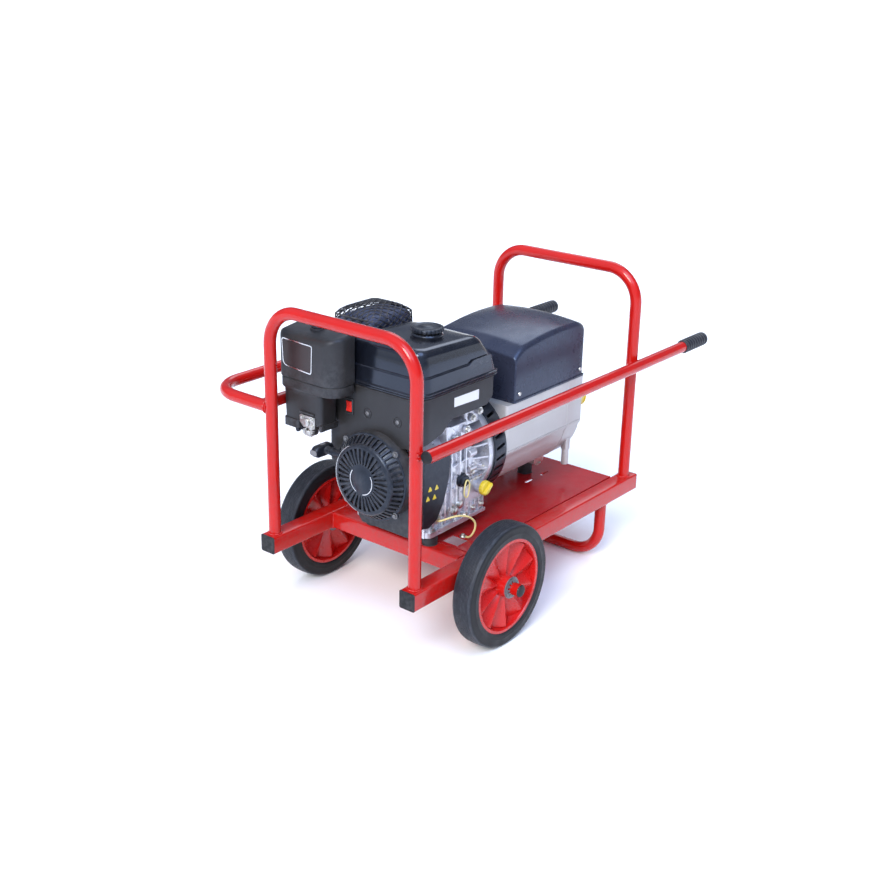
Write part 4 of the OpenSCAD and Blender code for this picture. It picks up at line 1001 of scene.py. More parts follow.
def cleaner_ring(t, z, full=True):
    """Plan of the air cleaner, drawn in by t, at height z; z may be a function of x."""
    high = z if callable(z) else (lambda x: z)
    x0, x1, x2, y0, y1 = 35 + t, 103 - t, 150 - t, 51 + t, 213 - t
    if full:
        corners = [(x0, y0), (x1, y0), (x1, 100 + t), (x2, 100 + t), (x2, y1), (x0, y1)]
        radii = [max(2, 38 - t), max(1.5, 8 - t), 6, max(1.5, 8 - t), max(2, 16 - t), max(2, 14 - t)]
    else:
        corners = [(x0, y0), (x1, y0), (x1, 80), (x1, 120), (x1, y1), (x0, y1)]
        radii = [max(2, 38 - t), max(1.5, 8 - t), 0, 0, max(2, 10 - t), max(2, 14 - t)]
    return [Vector((p.x, p.y, high(p.x))) for p in flat_ring(corners, radii, 8)]


def make_air_cleaner():
    """Lid with its badge, lower body with the ducts, and the wing knob."""
    def top(x, drop):
        return slope_at([(35, 639), (43, 646), (110, 658), (150, 658)], x) - drop

    rings = [cleaner_ring(6, 545.4), cleaner_ring(0.6, 545.4), cleaner_ring(0, 546.4), cleaner_ring(0, 612)]
    for k in range(0, 7):
        a = math.radians(15 * k)
        rings.append(cleaner_ring(9 * (1 - math.cos(a)), lambda x: top(x, 9 * (1 - math.sin(a)))))
    rings.append(cleaner_ring(18, lambda x: top(x, -0.3)))
    bm = new()
    loft(bm, rings)
    lathe(bm, [(17, 650), (16.4, 654.4), (14, 654.8), (0, 654.8)], 40, at((KNOB_X, KNOB_Y, 0)))
    # latch under the lid's front edge
    block(bm, (40, 92, 541), (47, 112, 551), 2)
    piece("air_cleaner_lid", bm, "shroud", ["air_cleaner_cover"], sharp=40)
    # badge: thin bright frame round a plain dark field
    bm = new()
    outline = flat_ring([(-112, 627), (-199, 630), (-196, 572), (-115, 566)], [4, 5, 12, 5], 6)
    shape = [(-p.x, p.y) for p in outline]
    path = [(34.4, y, z) for y, z in shape]
    sweep(bm, path, [(-1.1, -0.5), (1.1, -0.5), (1.1, 0.9), (-1.1, 0.9)], closed=True, up=(-1, 0, 0))
    piece("badge_frame", bm, "zinc", material=BRIGHT, sharp=30)
    bm = new()
    loft(bm, [[(x, y, z) for y, z in shape] for x in (35.2, 34.3)])
    piece("badge_field", bm, "black_plastic", material=BADGE, bevel=0.2)
    # lower body with its seam, waist and ducts
    bm = new()
    levels = ((3.2, 545.3), (3.2, 542.5), (1.6, 541.8), (1.6, 524), (4.5, 520), (12, 518.8))
    loft(bm, [cleaner_ring(t, z, False) for t, z in levels])
    levels = ((521, -3), (515, 1.4), (505, 2.0), (470, 2.6), (449, 3.2), (446, 6))
    loft(bm, [plan_ring(43 + t, 99 + t, 102 - t * 0.4, 212 - t * 0.6, 12, z, 6) for z, t in levels])
    # skirts on both sides of the carburettor, and a rib over it
    block(bm, (44, 166, 431), (61, 209, 450), 6, 4)
    block(bm, (46, 100, 437), (100, 107, 450), 3, 4)
    block(bm, (41.5, 118, 470), (46, 160, 474), 1.5, 3)
    disc(bm, 5.5, 432, 447, 24, at((60, 172, 0)))
    block(bm, (103, 103, 541), (147, 209, 545.2), 6)
    piece("air_cleaner_body", bm, "shroud", ["air_cleaner_base"], bevel=0.5, sharp=40)
    bm = new()
    knob = [(0, 655.2), (13.6, 655.2), (15, 656), (15, 658.2), (13.6, 659.2), (12, 659.6, 1),
            (11.4, 665.6, 1), (10, 669, 1), (8, 669.6), (0, 669.6)]
    lathe(bm, knob, 96, at((KNOB_X, KNOB_Y, 0)), ripple=lambda a: 1.9 * math.cos(6 * a))
    piece("air_cleaner_wing_knob", bm, "black_plastic", ["air_cleaner_knob"], body="cleaner_knob", sharp=45)


def make_carburettor():
    """Alloy body with a flange, a bowl with its rim and drain, and screws and brackets round it."""
    top = span("carburettor")[1].z
    y = 164
    bm = new()
    block(bm, (62, y - 19, 438), (100, y + 19, top), 4)
    block(bm, (66, y - 15, 421), (97, y + 15, 440), 5)
    block(bm, (63.5, y - 18.5, 432), (99, y + 18.5, 435), 5)
    lathe(bm, [(0, 420), (19, 420), (19, 423), (17.6, 424), (0, 424)], 40, at((80, y, 0)))
    lathe(bm, [(0, 409), (13, 409), (16.4, 411), (17.8, 415), (17.8, 420.5), (0, 420.5)], 40,
          at((80, y, 0)))
    lathe(bm, [(0, 404), (5, 404), (6, 405), (6, 409.5), (0, 409.5)], 24, at((80, y, 0)))
    sweep(bm, [(98, y, 433), (115, y, 440), (136, y, 456), (156, y, 466)], circle(12.5, 28))
    disc(bm, 4, 0, 14, 20, at((62.5, y + 12, 428), ALONG_NX))
    piece("carburettor_body", bm, "carb_alloy", ["carburettor"], bevel=0.7, sharp=40)
    bm = new()
    for p in ((70, y - 14), (90, y - 14), (70, y + 14), (90, y + 14)):
        bolt(bm, (p[0], p[1], 420), ALONG_NZ, 2.6, 2.2)
    for dy, z in ((-13, 442), (13, 442), (0, 429)):
        bolt(bm, (62, y + dy, z), ALONG_NX, 3.4, 3)
    for dz in (0, 12):
        path = [(58, y - 22 + dz, 447 - dz * 0.5), (56, y - 8, 446 - dz * 0.6),
                (56, y + 14, 447 - dz * 0.4)]
        sweep(bm, path, circle(1.2, 10))
    for y1, z in ((124, 462), (152, 462), (124, 446)):
        bolt(bm, (42.6, y1, z), ALONG_NX, 3.6, 3)
    piece("carburettor_screws", bm, "zinc", bevel=0.2)
    bm = new()
    flange = flat_ring([(-116, 440), (-116, 467), (-160, 467), (-160, 450), (-150, 440)], 4, 4)
    loft(bm, [[(x, -q.x, q.y) for q in flange] for x in (46.4, 42.8)])
    lathe(bm, [(0, 0), (9, 0), (9, 3), (7, 4), (0, 3)], 32, at((42.8, 140, 452), ALONG_NX))
    piece("carburettor_flange", bm, "carb_alloy", bevel=0.7, sharp=40)
    bm = new()
    c = Vector((52.5, 156, 436))
    disc(bm, 3, 0, 9.2, 20, at(c, ALONG_X))
    a = math.radians(-30)
    along = Vector((0, math.cos(a), math.sin(a)))
    across = Vector((0, -math.sin(a), math.cos(a)))
    outline = flat_ring([(-3.5, -3.5), (21, -3.5), (21, 3.5), (-3.5, 3.5)], 3.4, 5)
    loft(bm, [[c + Vector((dx, 0, 0)) + along * p.x + across * p.y for p in outline] for dx in (0, 3)])
    tip = c + along * 20
    lathe(bm, [(0, -5), (4, -5), (5, -4), (5, 2), (4, 3), (0, 3)], 24, at(tip, ALONG_X))
    piece("choke_lever_arm", bm, "black_plastic", ["choke_lever"], body="choke", bevel=0.4)


def make_exhaust():
    """Muffler can with its seam, its inlet pipe and its outlet."""
    lo, hi = Vector((222, 115, 566)), Vector((358, 225, 641))
    bm = new()
    rings = []
    for x, t in ((lo.x, 6), (lo.x + 1.5, 2), (lo.x + 5, 0), (lo.x + 60, 0), (lo.x + 61.5, -1.6),
                 (lo.x + 68.5, -1.6), (lo.x + 70, 0), (hi.x - 5, 0), (hi.x - 1.5, 2), (hi.x, 6)):
        rings.append([(x, p.x, p.y) for p in round_rect(lo.y + t, lo.z + t, hi.y - t, hi.z - t, 26, 10)])
    loft(bm, rings)
    lathe(bm, [(10, 500), (10, 572), (8, 572), (8, 500), (10, 500)], 32, at((267, 130, 0)))
    lathe(bm, [(0, 0), (11, 0), (11, 8), (9, 8), (9, 2), (0, 2)], 32, at((355, 190, 588), ALONG_X))
    piece("muffler_can", bm, "exhaust_steel", ["muffler"], sharp=40)
    make_muffler_guard()


# size of a diamond of the basket's net, thickness of its strands, and how far the basket's plan draws its
# corners in, from 0 for a rectangle
CELL_W, CELL_H = 25, 15
STRAND = 3.4
CORNER_PULL = 0.16


def mesh_sheet(bm, origin, across, down, width, height):
    """Diamond net over a flat panel, as faces whose edges become the strands."""
    nx, ny = max(2, round(width / CELL_W)), max(2, round(height / CELL_H))
    dx, dy = width / nx, height / ny
    grid = {}

    def point(i, j):
        key = (i, j)
        if key not in grid:
            grid[key] = bm.verts.new(origin + across * (i * dx / 2) + down * (j * dy / 2))
        return grid[key]

    for j in range(0, 2 * ny + 1):
        for i in range(0, 2 * nx + 1):
            if (i + j) % 2 == 0:
                continue
            corners = [(i - 1, j), (i, j - 1), (i + 1, j), (i, j + 1)]
            inside = [(a, b) for a, b in corners if 0 <= a <= 2 * nx and 0 <= b <= 2 * ny]
            if len(inside) >= 3:
                bm.faces.new([point(a, b) for a, b in inside])


def make_muffler_guard():
    """Expanded-metal basket over the muffler: a net on the top and four sides, and round rims."""
    lo, hi = span("muffler_guard")
    lo, hi = lo + Vector((3, 3, 4)), hi - Vector((3, 3, 3))
    x_axis, y_axis, down = Vector((1, 0, 0)), Vector((0, 1, 0)), Vector((0, 0, -1))
    w, d, h = hi.x - lo.x, hi.y - lo.y, hi.z - lo.z
    bm = new()
    top = Vector((lo.x, lo.y, hi.z))
    panels = [(top, x_axis, y_axis, w, d), (top, x_axis, down, w, h), (top + y_axis * d, x_axis, down, w, h),
              (top, y_axis, down, d, h), (top + x_axis * w, y_axis, down, d, h)]
    for panel in panels:
        mesh_sheet(bm, *panel)
    centre = (lo + hi) / 2
    for v in bm.verts:
        # the sides flare a little towards the rim, and the top's edges are rounded down
        low = (hi.z - v.co.z) / h
        v.co.x += (v.co.x - centre.x) / w * (7 * low - 5)
        v.co.y += (v.co.y - centre.y) / d * (7 * low - 5)
        u, t = (v.co.x - centre.x) / (w / 2), (v.co.y - centre.y) / (d / 2)
        reach = min(1.0, max(abs(u), abs(t)))
        upper = max(0.0, 1 - low * 1.4)
        v.co.z += 12 * upper * (1 - reach ** 2) - 12 * reach ** 5 * upper
        v.co.x = centre.x + (v.co.x - centre.x) * math.sqrt(1 - CORNER_PULL * min(1.0, t * t))
        v.co.y = centre.y + (v.co.y - centre.y) * math.sqrt(1 - CORNER_PULL * min(1.0, u * u))
    guard = piece("muffler_guard_net", bm, "guard_steel", ["muffler_guard"], sharp=180)
    wire = guard.modifiers.new("strands", "WIREFRAME")
    wire.thickness = STRAND * MM
    wire.use_even_offset = False
    wire.use_boundary = True
    bm = new()
    rim = []
    for k in range(64):
        a = 2 * math.pi * k / 64
        far = max(abs(math.cos(a)), abs(math.sin(a)))
        u, t = math.cos(a) / far, math.sin(a) / far
        rim.append((centre.x + u * (w / 2 + 0.5) * math.sqrt(1 - CORNER_PULL * t * t),
                    centre.y + t * (d / 2 + 0.5) * math.sqrt(1 - CORNER_PULL * u * u), lo.z))
    sweep(bm, rim, circle(2.2, 12), closed=True)
    for x in (237, 342):
        disc(bm, 4, 0, 9, 20, at((x, 222, 600), ALONG_Y))
    piece("muffler_guard_rim", bm, "guard_steel")


# ---------- engine castings ----------
def flange_bolts():
    """Places (y, z) of the bolts round the crankcase cover's flange, as far as the far side leaves room."""
    return [(y, z) for y, z in crank_arc(FLANGE_R, FLANGE_ANGLES) if y < FLANGE_BACK_Y]


def make_castings():
    """Webs, flanges, bosses and bolts on the crankcase's visible side, and the fittings there."""
    bm = new()
    right = at((0, CASE_RIGHT_Y, 0), ALONG_NY)
    # flange between the crankcase and its cover, with its bolt bosses
    for y, z in flange_bolts():
        lathe(bm, [(0, 0), (8, 0), (9, 1), (9, 21), (8, 22), (0, 22)], 24, at((292, y, z), ALONG_X))
    ring = [(92, 292), (99, 292), (101, 294), (101, 302), (99, 304), (92, 304), (92, 292)]
    lathe(bm, ring, 96, on_crank())
    # upright and slanted webs on the right side
    for x, z0, z1, deep in ((232, 232, 420, 9), (262, 228, 430, 9), (285, 228, 400, 7)):
        prism(bm, [(x - 2.5, z0), (x + 2.5, z0), (x + 2.0, z1), (x - 2.0, z1)], right, deep)
    for z in (300, 352, 398):
        prism(bm, [(222, z - 2), (298, z - 2 + 8), (298, z + 2 + 8), (222, z + 2)],
              at((0, -97, 0), ALONG_NY), 6)
    # upper casting towards the cylinder, seen between the shroud and the alternator
    path = [(222, -70, 430), (250, -60, 452), (286, -52, 470), (330, -50, 476)]
    sweep(bm, path, circle(17, 24), size=lambda i: (1.0, 1.25, 1.3, 1.05)[i])
    block(bm, (228, -98, 400), (300, -20, 446), 14, 5)
    block(bm, (300, -88, 430), (352, -6, 468), 12, 5)
    for x, y, z in SIDE_BOLTS:
        boss(bm, (x, y, z), ALONG_NY, 9, 7)
    # ribs of the cover's cone
    for a in range(150, 271, 15):
        turn = on_crank(0, a)
        fin = [(84, 311), (98, 311), (116, 347), (84, 347)]
        loft(bm, [[turn @ Vector((r, w, x)) for r, x in fin] for w in (-2, 2)])
    # far side: the breather cover on its gasket, ribs over the sump, and the governor's boss
    prism(bm, round_rect(-272, 262, -182, 338, 12, 6), at((0, 92, 0), ALONG_Y), 5)
    prism(bm, round_rect(-264, 270, -190, 330, 9, 6), at((0, 97, 0), ALONG_Y), 5)
    for x in (164, 200, 236, 272, 292):
        prism(bm, [(-x - 2.2, 228), (-x + 2.2, 228), (-x + 2.2, 258), (-x - 2.2, 258)],
              at((0, 91, 0), ALONG_Y), 7)
    lathe(bm, [(0, 0), (12, 0), (12, 8), (9, 10), (0, 10)], 28, at((168, 91, 300), ALONG_Y))
    for z in (262, 344, 352):
        sweep(bm, [(156, 93, z - 6), (290, 93, z - 6)], circle(2.2, 8))
    # lower end of the crankcase cover: ribs, a rim along its foot and pads for its bolts
    for x in (306, 320, 334, 349):
        prism(bm, [(x - 2, 222), (x + 2, 222), (x + 1.6, 254), (x - 1.6, 254)], right, 7)
    prism(bm, [(300, 217), (356, 217), (356, 225), (300, 225)], right, 9)
    prism(bm, [(303, 302), (353, 302), (353, 306), (303, 306)], right, 6)
    for x, z in COVER_BOLTS:
        boss(bm, (x, CASE_RIGHT_Y, z), ALONG_NY, 8, 7)
    # feet with their slopes
    block(bm, (152, -110, 216), (300, 96, 229), 14, 6)
    for x in (160, 200, 244):
        fin = [(-112, 228), (-94, 228), (-94, 262), (-99, 262)]
        loft(bm, [[(x + w, y, z) for y, z in fin] for w in (-3, 3)])
    piece("casting_webs", bm, "cast_aluminium", bevel=1.2, segments=3, sharp=40)
    bm = new()
    for y, z in flange_bolts():
        bolt(bm, (313.5, y, z), ALONG_X, 5, 4)
    for x, y, z in SIDE_BOLTS:
        bolt(bm, (x, y - 6.8, z), ALONG_NY, 5, 4)
    for x, y in ((168, -104), (284, -104), (168, 88), (284, 88)):
        bolt(bm, (x, y, 229), ALONG_Z, 6, 5)
    for x, z in COVER_BOLTS:
        bolt(bm, (x, CASE_RIGHT_Y - 7, z), ALONG_NY, 4.2, 4)
    for x in (189, 227, 265):
        for z in (270, 330):
            bolt(bm, (x, 97, z), ALONG_Y, 4, 3)
    disc(bm, 3, 0, 26, 16, at((168, 98, 300), ALONG_Y))
    block(bm, (164, 116, 296), (172, 119, 372), 3, 4)
    sweep(bm, [(168, 119, 368), (150, 128, 400), (120, 146, 430), (100, 152, 440)], circle(1.3, 10))
    # drain plug and sender at the foot of the side
    bolt(bm, (240, -101, 254), ALONG_NY, 9, 10)
    boss(bm, (262, -100, 262), ALONG_NY, 8.5, 11, 28)
    piece("casting_bolts", bm, "zinc", bevel=0.3)
    bm = new()
    # black filler neck with its collar
    lathe(bm, [(0, 0), (14, 0), (16, 2), (16, 9), (13, 11), (13, 18), (11.5, 20), (0, 20)], 40,
          at((268, -99, 318), ALONG_NY))
    # two hoses on the far side
    hose = [(268, 120, 395), (240, 118, 372), (190, 112, 372), (160, 100, 392), (150, 60, 440)]
    sweep(bm, rounded(hose, 18, 6), circle(3.4, 14))
    fuel_hose = [(200, 92, 541), (198, 118, 520), (160, 146, 500), (108, 156, 462), (100, 158, 440)]
    sweep(bm, rounded(fuel_hose, 14, 6), circle(4.2, 14))
    piece("filler_neck", bm, "black_plastic", bevel=0.4)
    bm = new()
    loop = [(268 + 9 * math.sin(a) * (1 + 0.15 * math.sin(2 * a)), -121, 301 + 20 * math.cos(a))
            for a in [2 * math.pi * k / 36 for k in range(36)]]
    sweep(bm, loop, circle(1.7, 12), closed=True)
    piece("filler_tag_ring", bm, "lead_insulation")


def make_side_panel():
    """Black panel on the engine's right side with plain yellow marks, and the blank label on the shroud."""
    outline = flat_ring([(126, 250), (150, 244), (178, 256), (200, 290), (216, 340), (220, 392), (205, 404),
                         (126, 404)], [4, 10, 14, 20, 20, 10, 8, 4], 6)
    bm = new()
    prism(bm, outline, at((0, -109, 0), ALONG_NY), 3)
    inset = [(126 + 6 + (p.x - 126) * 0.88, 250 + (p.y - 250) * 0.92 + 6) for p in outline]
    prism(bm, inset, at((0, -111.8, 0), ALONG_NY), 0.9)
    for x, z in ((160, 270), (185, 340)):
        disc(bm, 5, 0, 9, 20, at((x, -109, z), ALONG_Y))
    piece("side_panel_cover", bm, "black_plastic", ["side_panel"], bevel=0.8, segments=3)
    bm = new()
    size = 14
    for x, z in ((152, 335), (174, 333), (145, 315), (167, 313)):
        mark = flat_ring([(x - size / 2, z - size * 0.42), (x + size / 2, z - size * 0.42),
                          (x, z + size * 0.45)], 1.6, 4)
        prism(bm, mark, at((0, -112.6, 0), ALONG_NY), 0.5)
    piece("side_panel_marks", bm, "yellow", bevel=0.1)
    bm = new()
    tag = [(218, 502), (301, 499), (301, 521), (218, 522)]
    prism(bm, tag, at((0, WING_Y + 0.1, 0), ALONG_NY), 0.8)
    piece("blank_label", bm, "case_silver", material=LABEL)


def make_oil_plug():
    """Ribbed plug with a wing to turn it by."""
    bm = new()
    place = at((338, -112.3, 280), ALONG_NY)
    head = [(0, 0), (16.4, 0, 1), (17, 1, 1), (17, 9.5, 1), (15.4, 11.4, 1), (9, 11.8), (0, 11.8)]
    lathe(bm, head, 96, place, ripple=lambda a: -0.8 * (0.5 + 0.5 * math.cos(16 * a)))
    disc(bm, 9, 0.5, -20, 32, place)
    wing = flat_ring([(-17, -3.4), (17, -3.4), (17, 3.4), (-17, 3.4)], 3.2, 5)
    turn = turned(place, 35)
    levels = ((10.5, 1.0), (16.5, 0.94), (18.6, 0.8))
    loft(bm, [[turn @ Vector((p.x * k, p.y * k, z)) for p in wing] for z, k in levels])
    piece("oil_plug_wing", bm, "yellow", ["oil_plug"], body="oil_cap", bevel=0.4, sharp=45)


# ---------- alternator ----------
def make_alternator():
    """Case with flat upright sides and a round belly, its posts, bolts and foot, and the rubber buffers."""
    right = [(ALT_Y0, SPLIT_Z), (ALT_Y0, 400), (ALT_Y0, 345), (ALT_Y0 + 1, 338)]
    left = [(ALT_Y1 - 1, 338), (ALT_Y1, 345), (ALT_Y1, 400), (ALT_Y1, SPLIT_Z)]
    section = [Vector((*p, 0)) for p in right + crank_arc(116, range(191, 350, 6)) + left]
    centre = Vector(((ALT_Y0 + ALT_Y1) / 2, CRANK.z, 0))

    def ring(x, t):
        out = []
        for p in section:
            q = p - centre
            k = 1 - t / max(60, q.length)
            y, z = centre.x + q.x * k, centre.y + q.y * k
            if p.y > SPLIT_Z - 1:
                z = SPLIT_Z
            out.append((x, y, z))
        return out

    bm = new()
    rings = [ring(ALT_X0, 9)]
    for k in range(1, 6):
        a = math.radians(18 * k)
        rings.append(ring(ALT_X0 + 8 * (1 - math.cos(a)), 9 * (1 - math.sin(a))))
    rings += [ring(ALT_X1 - 60, 0), ring(ALT_X1 - 4, 0), ring(ALT_X1 - 1, 1.2), ring(ALT_X1, 3.5)]
    loft(bm, rings)
    # upright posts near the rear, where the end bracket's bolts run
    for s in (-1, 1):
        y = CRANK.y + s * 94
        lathe(bm, [(0, 228), (7.6, 228), (8.6, 229), (8.6, 306), (0, 322)], 28, at((ALT_X1 - 22, y, 0)))
        block(bm, (ALT_X1 - 31, y - 9, 268), (ALT_X1 - 13, y + 9, 300), 5, 4)
    # pressed line along the fold, and the seam of the end bracket
    for y in (ALT_Y0 - 0.2, ALT_Y1 + 0.2):
        sweep(bm, [(ALT_X0 + 10, y, 345), (550, y, 345), (ALT_X1 - 8, y, 345)], circle(1.2, 10))
    seam = [(ALT_X1 - 62, p.x, p.y) for p in section]
    sweep(bm, seam, circle(1.1, 8))
    # low vents stamped in the lower side
    for k in range(3):
        for s in (-1, 1):
            turn = on_crank(470 + 11 * k, 180 + s * 104)
            loft(bm, [[turn @ Vector((r, w, x)) for w, x in ((-6, 0), (6, 0), (6, 4), (-6, 4))]
                      for r in (114, 117)])
    # end bracket: bearing boss and a shallow pressed ring
    back = on_crank(ALT_X1 - 2)
    lathe(bm, [(0, 0), (26, 0), (26, 4), (24, 6), (0, 6)], 56, back)
    lathe(bm, [(84, 0), (84, 3.2), (88, 3.2), (88, 0), (84, 0)], 80, back)
    piece("alternator_housing", bm, "case_silver", ["alternator_case"], bevel=0.6, sharp=40)
    bm = new()
    for y, z in ((-88, 308), (80, 308), (-50, 270), (42, 270), (80, 430)):
        bolt(bm, (ALT_X1, y, z), ALONG_X, 4.5, 4)
    piece("end_bracket_bolts", bm, "zinc", bevel=0.25)

    make_terminal_cover()
    bm = new()
    saddle = [(-44, FOOT_Z), (36, FOOT_Z)] + crank_arc(115, range(-69, -112, -6))
    prism(bm, saddle, at((FOOT_X - 20, 0, 0), ALONG_X), 40)
    for s in (-1, 1):
        bolt(bm, (FOOT_X, CRANK.y + s * 34, FOOT_Z), ALONG_NZ, 6, 5)
    piece("alternator_foot_bar", bm, "zinc", ["alternator_foot"], bevel=0.8)
    bm = new()
    r = 18
    for x, y, top in ((ENGINE_FOOT_X, -88, ENGINE_FOOT_Z), (ENGINE_FOOT_X, 72, ENGINE_FOOT_Z),
                      (FOOT_X, CRANK.y, FOOT_Z)):
        h = top - RAIL_TOP
        waist = [(r - 1.4, 2.4), (r - 0.4, h * 0.3), (r - 0.4, h * 0.7), (r - 1.4, h - 2.4)]
        profile = [(0, 0), (r, 0), (r, 1.6), *waist, (r, h - 1.6), (r, h), (0, h)]
        lathe(bm, profile, 40, at((x, y, RAIL_TOP)))
    piece("rubber_buffers", bm, "mount_rubber", ["rubber_mounts"], sharp=40)


def make_terminal_cover():
    """Moulded cover: upright sides, round shoulders, a slightly crowned top and a sloped front."""
    x0, x1 = span("terminal_cover")[0].x, span("terminal_cover")[1].x
    shoulder = 15
    mid_y = (ALT_Y0 + ALT_Y1) / 2

    def height(x):
        """Side view of the top: a long gentle climb behind the front edge, and a drop at the rear edge."""
        line = slope_at([(428, 567), (433, 572), (446, 581), (458, 587.5), (466, 589.5), (484, 592),
                         (524, 597), (560, 600), (600, 601.5), (640, 601), (672, 599), (704, 595)], x)
        tail = max(0.0, (x - (x1 - 30)) / 30)
        return line - 19 * (1 - math.sqrt(max(0.0, 1 - tail ** 2)))

    def ring(x, t):
        top = height(x) - t
        half = (ALT_Y1 - ALT_Y0) / 2 - t
        r = shoulder
        out = [(x, mid_y - half, SPLIT_Z), (x, mid_y - half, SPLIT_Z + 50)]
        rise = 7
        for k in range(0, 9):
            a = math.radians(180 - 78 * k / 8)
            out.append((x, mid_y - half + r + r * math.cos(a), top - rise - r + r * math.sin(a)))
        for k in range(1, 8):
            s = -1 + 2 * k / 8
            out.append((x, mid_y + s * (half - r * 1.1), top - rise * s * s))
        for k in range(0, 9):
            a = math.radians(78 - 78 * k / 8)
            out.append((x, mid_y + half - r + r * math.cos(a), top - rise - r + r * math.sin(a)))
        out += [(x, mid_y + half, SPLIT_Z + 50), (x, mid_y + half, SPLIT_Z)]
        return out

    xs = [(x0 + 3 * (1 - math.cos(math.radians(a))), 3 * (1 - math.sin(math.radians(a))))
          for a in range(0, 91, 18)]
    xs += [(x0 + d, 0) for d in (5, 12, 18, 24, 30, 38, 56, 74, 96, 114, 132, 152, 172, 192, 212, 232, 246)]
    xs += [(x1 - 10 * (1 - math.sin(math.radians(a))), 10 * (1 - math.cos(math.radians(a))))
           for a in range(0, 91, 10)]
    bm = new()
    loft(bm, [ring(x, t) for x, t in xs])
    # lip that stands over the case
    lip = [(x0 - 1, ALT_Y0 - 1, 0), (x1 + 1, ALT_Y0 - 1, 0), (x1 + 1, ALT_Y1 + 1, 0),
           (x0 - 1, ALT_Y1 + 1, 0)]
    path = [(p.x, p.y, SPLIT_Z + 2.5) for p in rounded(lip, 5, 5, closed=True)]
    sweep(bm, path, [(-1.2, -2.2), (0.8, -2.2), (0.8, 2.2), (-1.2, 2.2)], closed=True)
    piece("terminal_cover_shell", bm, "cover_black", ["terminal_cover"], bevel=0.4, sharp=32)


def make_outlet():
    """Outlet socket on the alternator's rear face, with its contacts and a sprung lid."""
    y, z = -78, 388
    bm = new()
    place = at((ALT_X1, y, z), ALONG_X)
    prism(bm, round_rect(-34, -34, 34, 34, 7, 6), place, 6)
    lathe(bm, [(30, 5), (30, 35), (28.6, 37), (25, 37), (25, 12), (0, 12)], 64, place)
    for s in (-1, 1):
        for t in (-1, 1):
            lathe(bm, [(0, 6), (3.4, 6), (3.4, 7.6), (0, 8.2)], 20,
                  place @ Matrix.Translation((s * 26, t * 26, 0)))
    for a in (90, 210, 330):
        p = place @ Matrix.Translation((*polar(14, a), 12))
        lathe(bm, [(0, 0), (3, 0), (3, 7), (2, 8), (0, 8)], 20, p)
    for s in (-1, 1):
        block(bm, (728, y + s * 16 - 4, z + 24), (743, y + s * 16 + 4, z + 39), 1.5)
    piece("outlet_socket_body", bm, "yellow", ["outlet_socket"], bevel=0.6, sharp=40)
    bm = new()
    lathe(bm, [(0, 0), (30, 0), (31, 1), (31, 4), (29.5, 5), (25, 5), (24, 7), (0, 7.2)], 64,
          at((744, y, z), ALONG_X))
    disc(bm, 4, 0, 20, 24, at((739, y - 10, 423), ALONG_Y))
    disc(bm, 2.05, 0, 44, 20, at((739, y - 22, 423), ALONG_Y))
    block(bm, (744, y - 10, z + 26), (749, y + 10, 427), 1.5)
    block(bm, (739, y - 10, 420), (745, y + 10, 427), 1.5)
    piece("outlet_lid", bm, "yellow", ["socket_lid"], body="lid", bevel=0.5, sharp=40)


# ---------- earth lead ----------
LEAD_POINTS = [(190, -100, 246), (190, -109, 247), (196, -118, 251), (208, -127, 255), (224, -136, 256),
               (240, -145, 252), (251, -151, 244), (257, -154, 234), (258, -154, 222), (256, -151, 210),
               (254, -146, 201), (255, -139, 195.5), (256, -131, 193.4)]


def make_lead():
    """The cream earth lead on its route from the crankcase foot to the deck, with a lug at each end."""
    pts = [row(p) for p in LEAD_POINTS]
    fine = []
    for i in range(len(pts) - 1):
        a, b, c, d = (pts[max(0, min(len(pts) - 1, i + k))] for k in (-1, 0, 1, 2))
        for k in range(6):
            s = k / 6
            bend = 2 * b + (c - a) * s + (2 * a - 5 * b + 4 * c - d) * s * s
            fine.append(0.5 * (bend + (3 * b - a - 3 * c + d) * s ** 3))
    fine.append(pts[-1])
    data = bpy.data.curves.new("earth_wire", "CURVE")
    data.dimensions = "3D"
    spline = data.splines.new("POLY")
    spline.points.add(len(fine) - 1)
    for point, co in zip(spline.points, fine):
        point.co = (*co, 1)
    data.bevel_depth = 0.0022
    data.bevel_resolution = 6
    data.use_fill_caps = True
    data.materials.append(MATERIALS["lead_insulation"].material)
    wire = bpy.data.objects.new("earth_wire", data)
    bpy.context.scene.collection.objects.link(wire)
    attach(wire, "chassis")
    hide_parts("earth_lead")
    length = sum((b - a).length for a, b in zip(fine, fine[1:]))
    tuple(pts[0])
    bm = new()
    disc(bm, 8, -1, 1, 28, at((190, -103, 246), ALONG_NY))
    bolt(bm, (190, -104, 253), ALONG_NY, 4.5, 4)
    disc(bm, 8, 0, 1.4, 28, at((257, -123, RAIL_TOP)))
    bolt(bm, (257, -122, RAIL_TOP + 1.2), ALONG_Z, 4.5, 4)
    piece("earth_lugs", bm, "zinc", bevel=0.25)


# ---------- CAD nodes that stay ----------
EDGE_WIDTH = {"deck_plate": 0.8, "crankcase": 2.0, "crankcase_cover": 2.0, "cylinder_head": 0.6,
              "rocker_cover": 1.0,
              "alternator_adapter": 0.6, "spark_plug": 0.6, "flywheel": 0.5}


def finish_cad_nodes():
    """Gives each CAD node the finish of its slot, and rounds the edges of those that show."""
    slots = {s["node"]: s["material_slot"] for s in frame["record"]["subparts"]}
    for name, obj in NODES.items():
        for holder in obj.material_slots:
            holder.material = MATERIALS[slots[name]].material
        if name in EDGE_WIDTH and not obj.hide_render:
            weld = obj.modifiers.new("weld", "WELD")
            weld.merge_threshold = 0.00002
            flat = obj.modifiers.new("flat", "DECIMATE")
            flat.decimate_type = "DISSOLVE"
            flat.angle_limit = math.radians(0.5)
            soften(obj, EDGE_WIDTH[name], 3, 30)


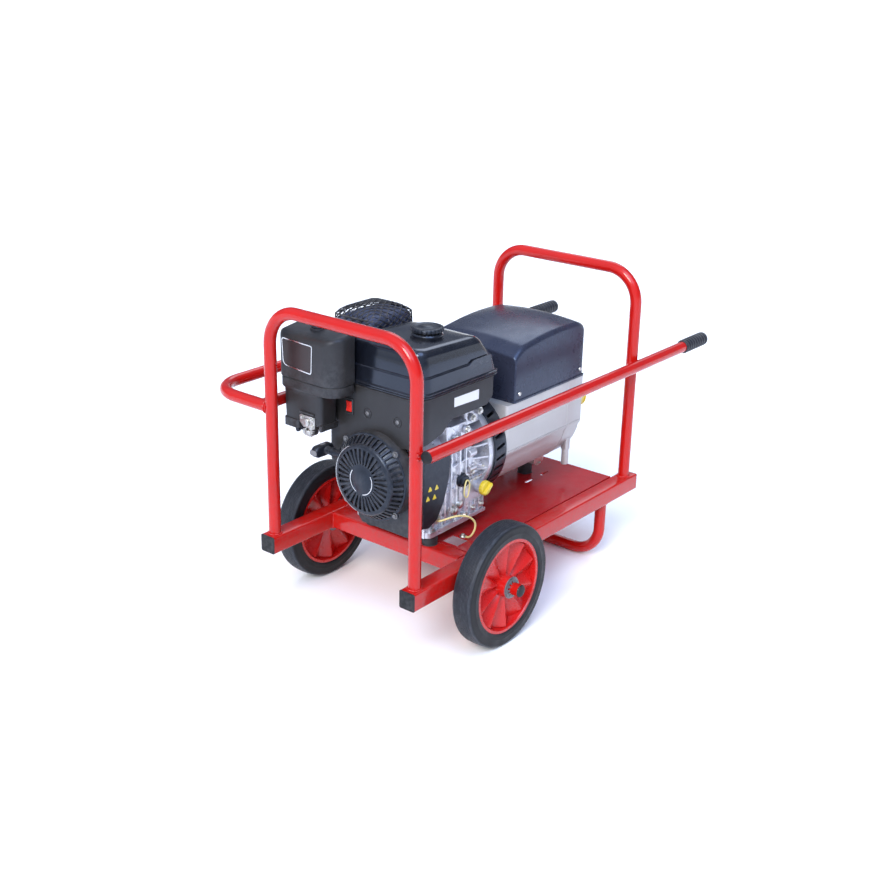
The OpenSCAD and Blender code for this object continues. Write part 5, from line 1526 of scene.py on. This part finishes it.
# ---------- floor and light ----------
def make_sky():
    """Soft daylight: bright on the front left, dim behind, a white horizon and two bright windows."""
    world = bpy.data.worlds.new("studio")
    bpy.context.scene.world = world
    world.use_nodes = True
    sky = Tree(world.node_tree, "Generated")

    def facing(direction, low, high):
        """0 where the cosine to the direction is low, up to 1 where it is high."""
        dot = sky.nodes.new("ShaderNodeVectorMath")
        dot.operation = "DOT_PRODUCT"
        dot.inputs[1].default_value = direction
        sky.links.new(sky.coords, dot.inputs[0])
        return sky.ramp(dot.outputs["Value"], low, high)

    color = sky.mix(facing((-0.60, -0.12, 0.79), 0.10, 0.95), (0.20, 0.23, 0.31), (1.04, 1.17, 1.44))
    height = sky.node("ShaderNodeSeparateXYZ", Vector=sky.coords).outputs[2]
    color = sky.mix(sky.ramp(height, 0.06, 0.11), (1.12, 1.12, 1.12), color)
    # high on the front right for the edges of the covers, and high behind for the tubes
    for direction, rim, inside, glow in (((-0.25, -0.49, 0.835), 0.91, 0.96, (3.4, 4.3, 6.2)),
                                         ((0.64, 0.34, 0.69), 0.94, 0.975, (2.6, 2.8, 3.2))):
        color = sky.mix(facing(direction, rim, inside), color, glow)
    background = sky.node("ShaderNodeBackground", Color=color, Strength=0.92)
    sky.node("ShaderNodeOutputWorld", Surface=background.outputs[0])


def make_stage():
    """The pale floor, the sky and the sun."""
    bpy.ops.mesh.primitive_plane_add(size=80, location=(0, 0, -0.0005))
    floor = bpy.context.object
    floor.name = "studio_floor"
    t = surface("studio_floor", (0.95, 0.95, 0.95), 0.85, vary=0.004, grain=0.02, grain_size=3,
                specular=0.1)
    floor.data.materials.append(t.material)
    make_sky()
    data = bpy.data.lights.new("key", "SUN")
    data.energy = 2.7
    data.angle = math.radians(24)
    data.color = (1.0, 0.95, 0.88)
    lamp = bpy.data.objects.new("key", data)
    lamp.rotation_euler = Vector((0.80, 0.25, -0.62)).to_track_quat("-Z", "Y").to_euler()
    bpy.context.scene.collection.objects.link(lamp)


make_lead()
make_tubes()
make_rails()
make_welds()
make_caps_and_grips()
make_wheels()
make_tank()
make_shroud()
make_recoil()
make_pull_grip()
make_air_cleaner()
make_carburettor()
make_exhaust()
make_castings()
make_side_panel()
make_oil_plug()
make_alternator()
make_outlet()
finish_cad_nodes()
make_stage()
bpy.context.scene.view_settings.view_transform = "Standard"
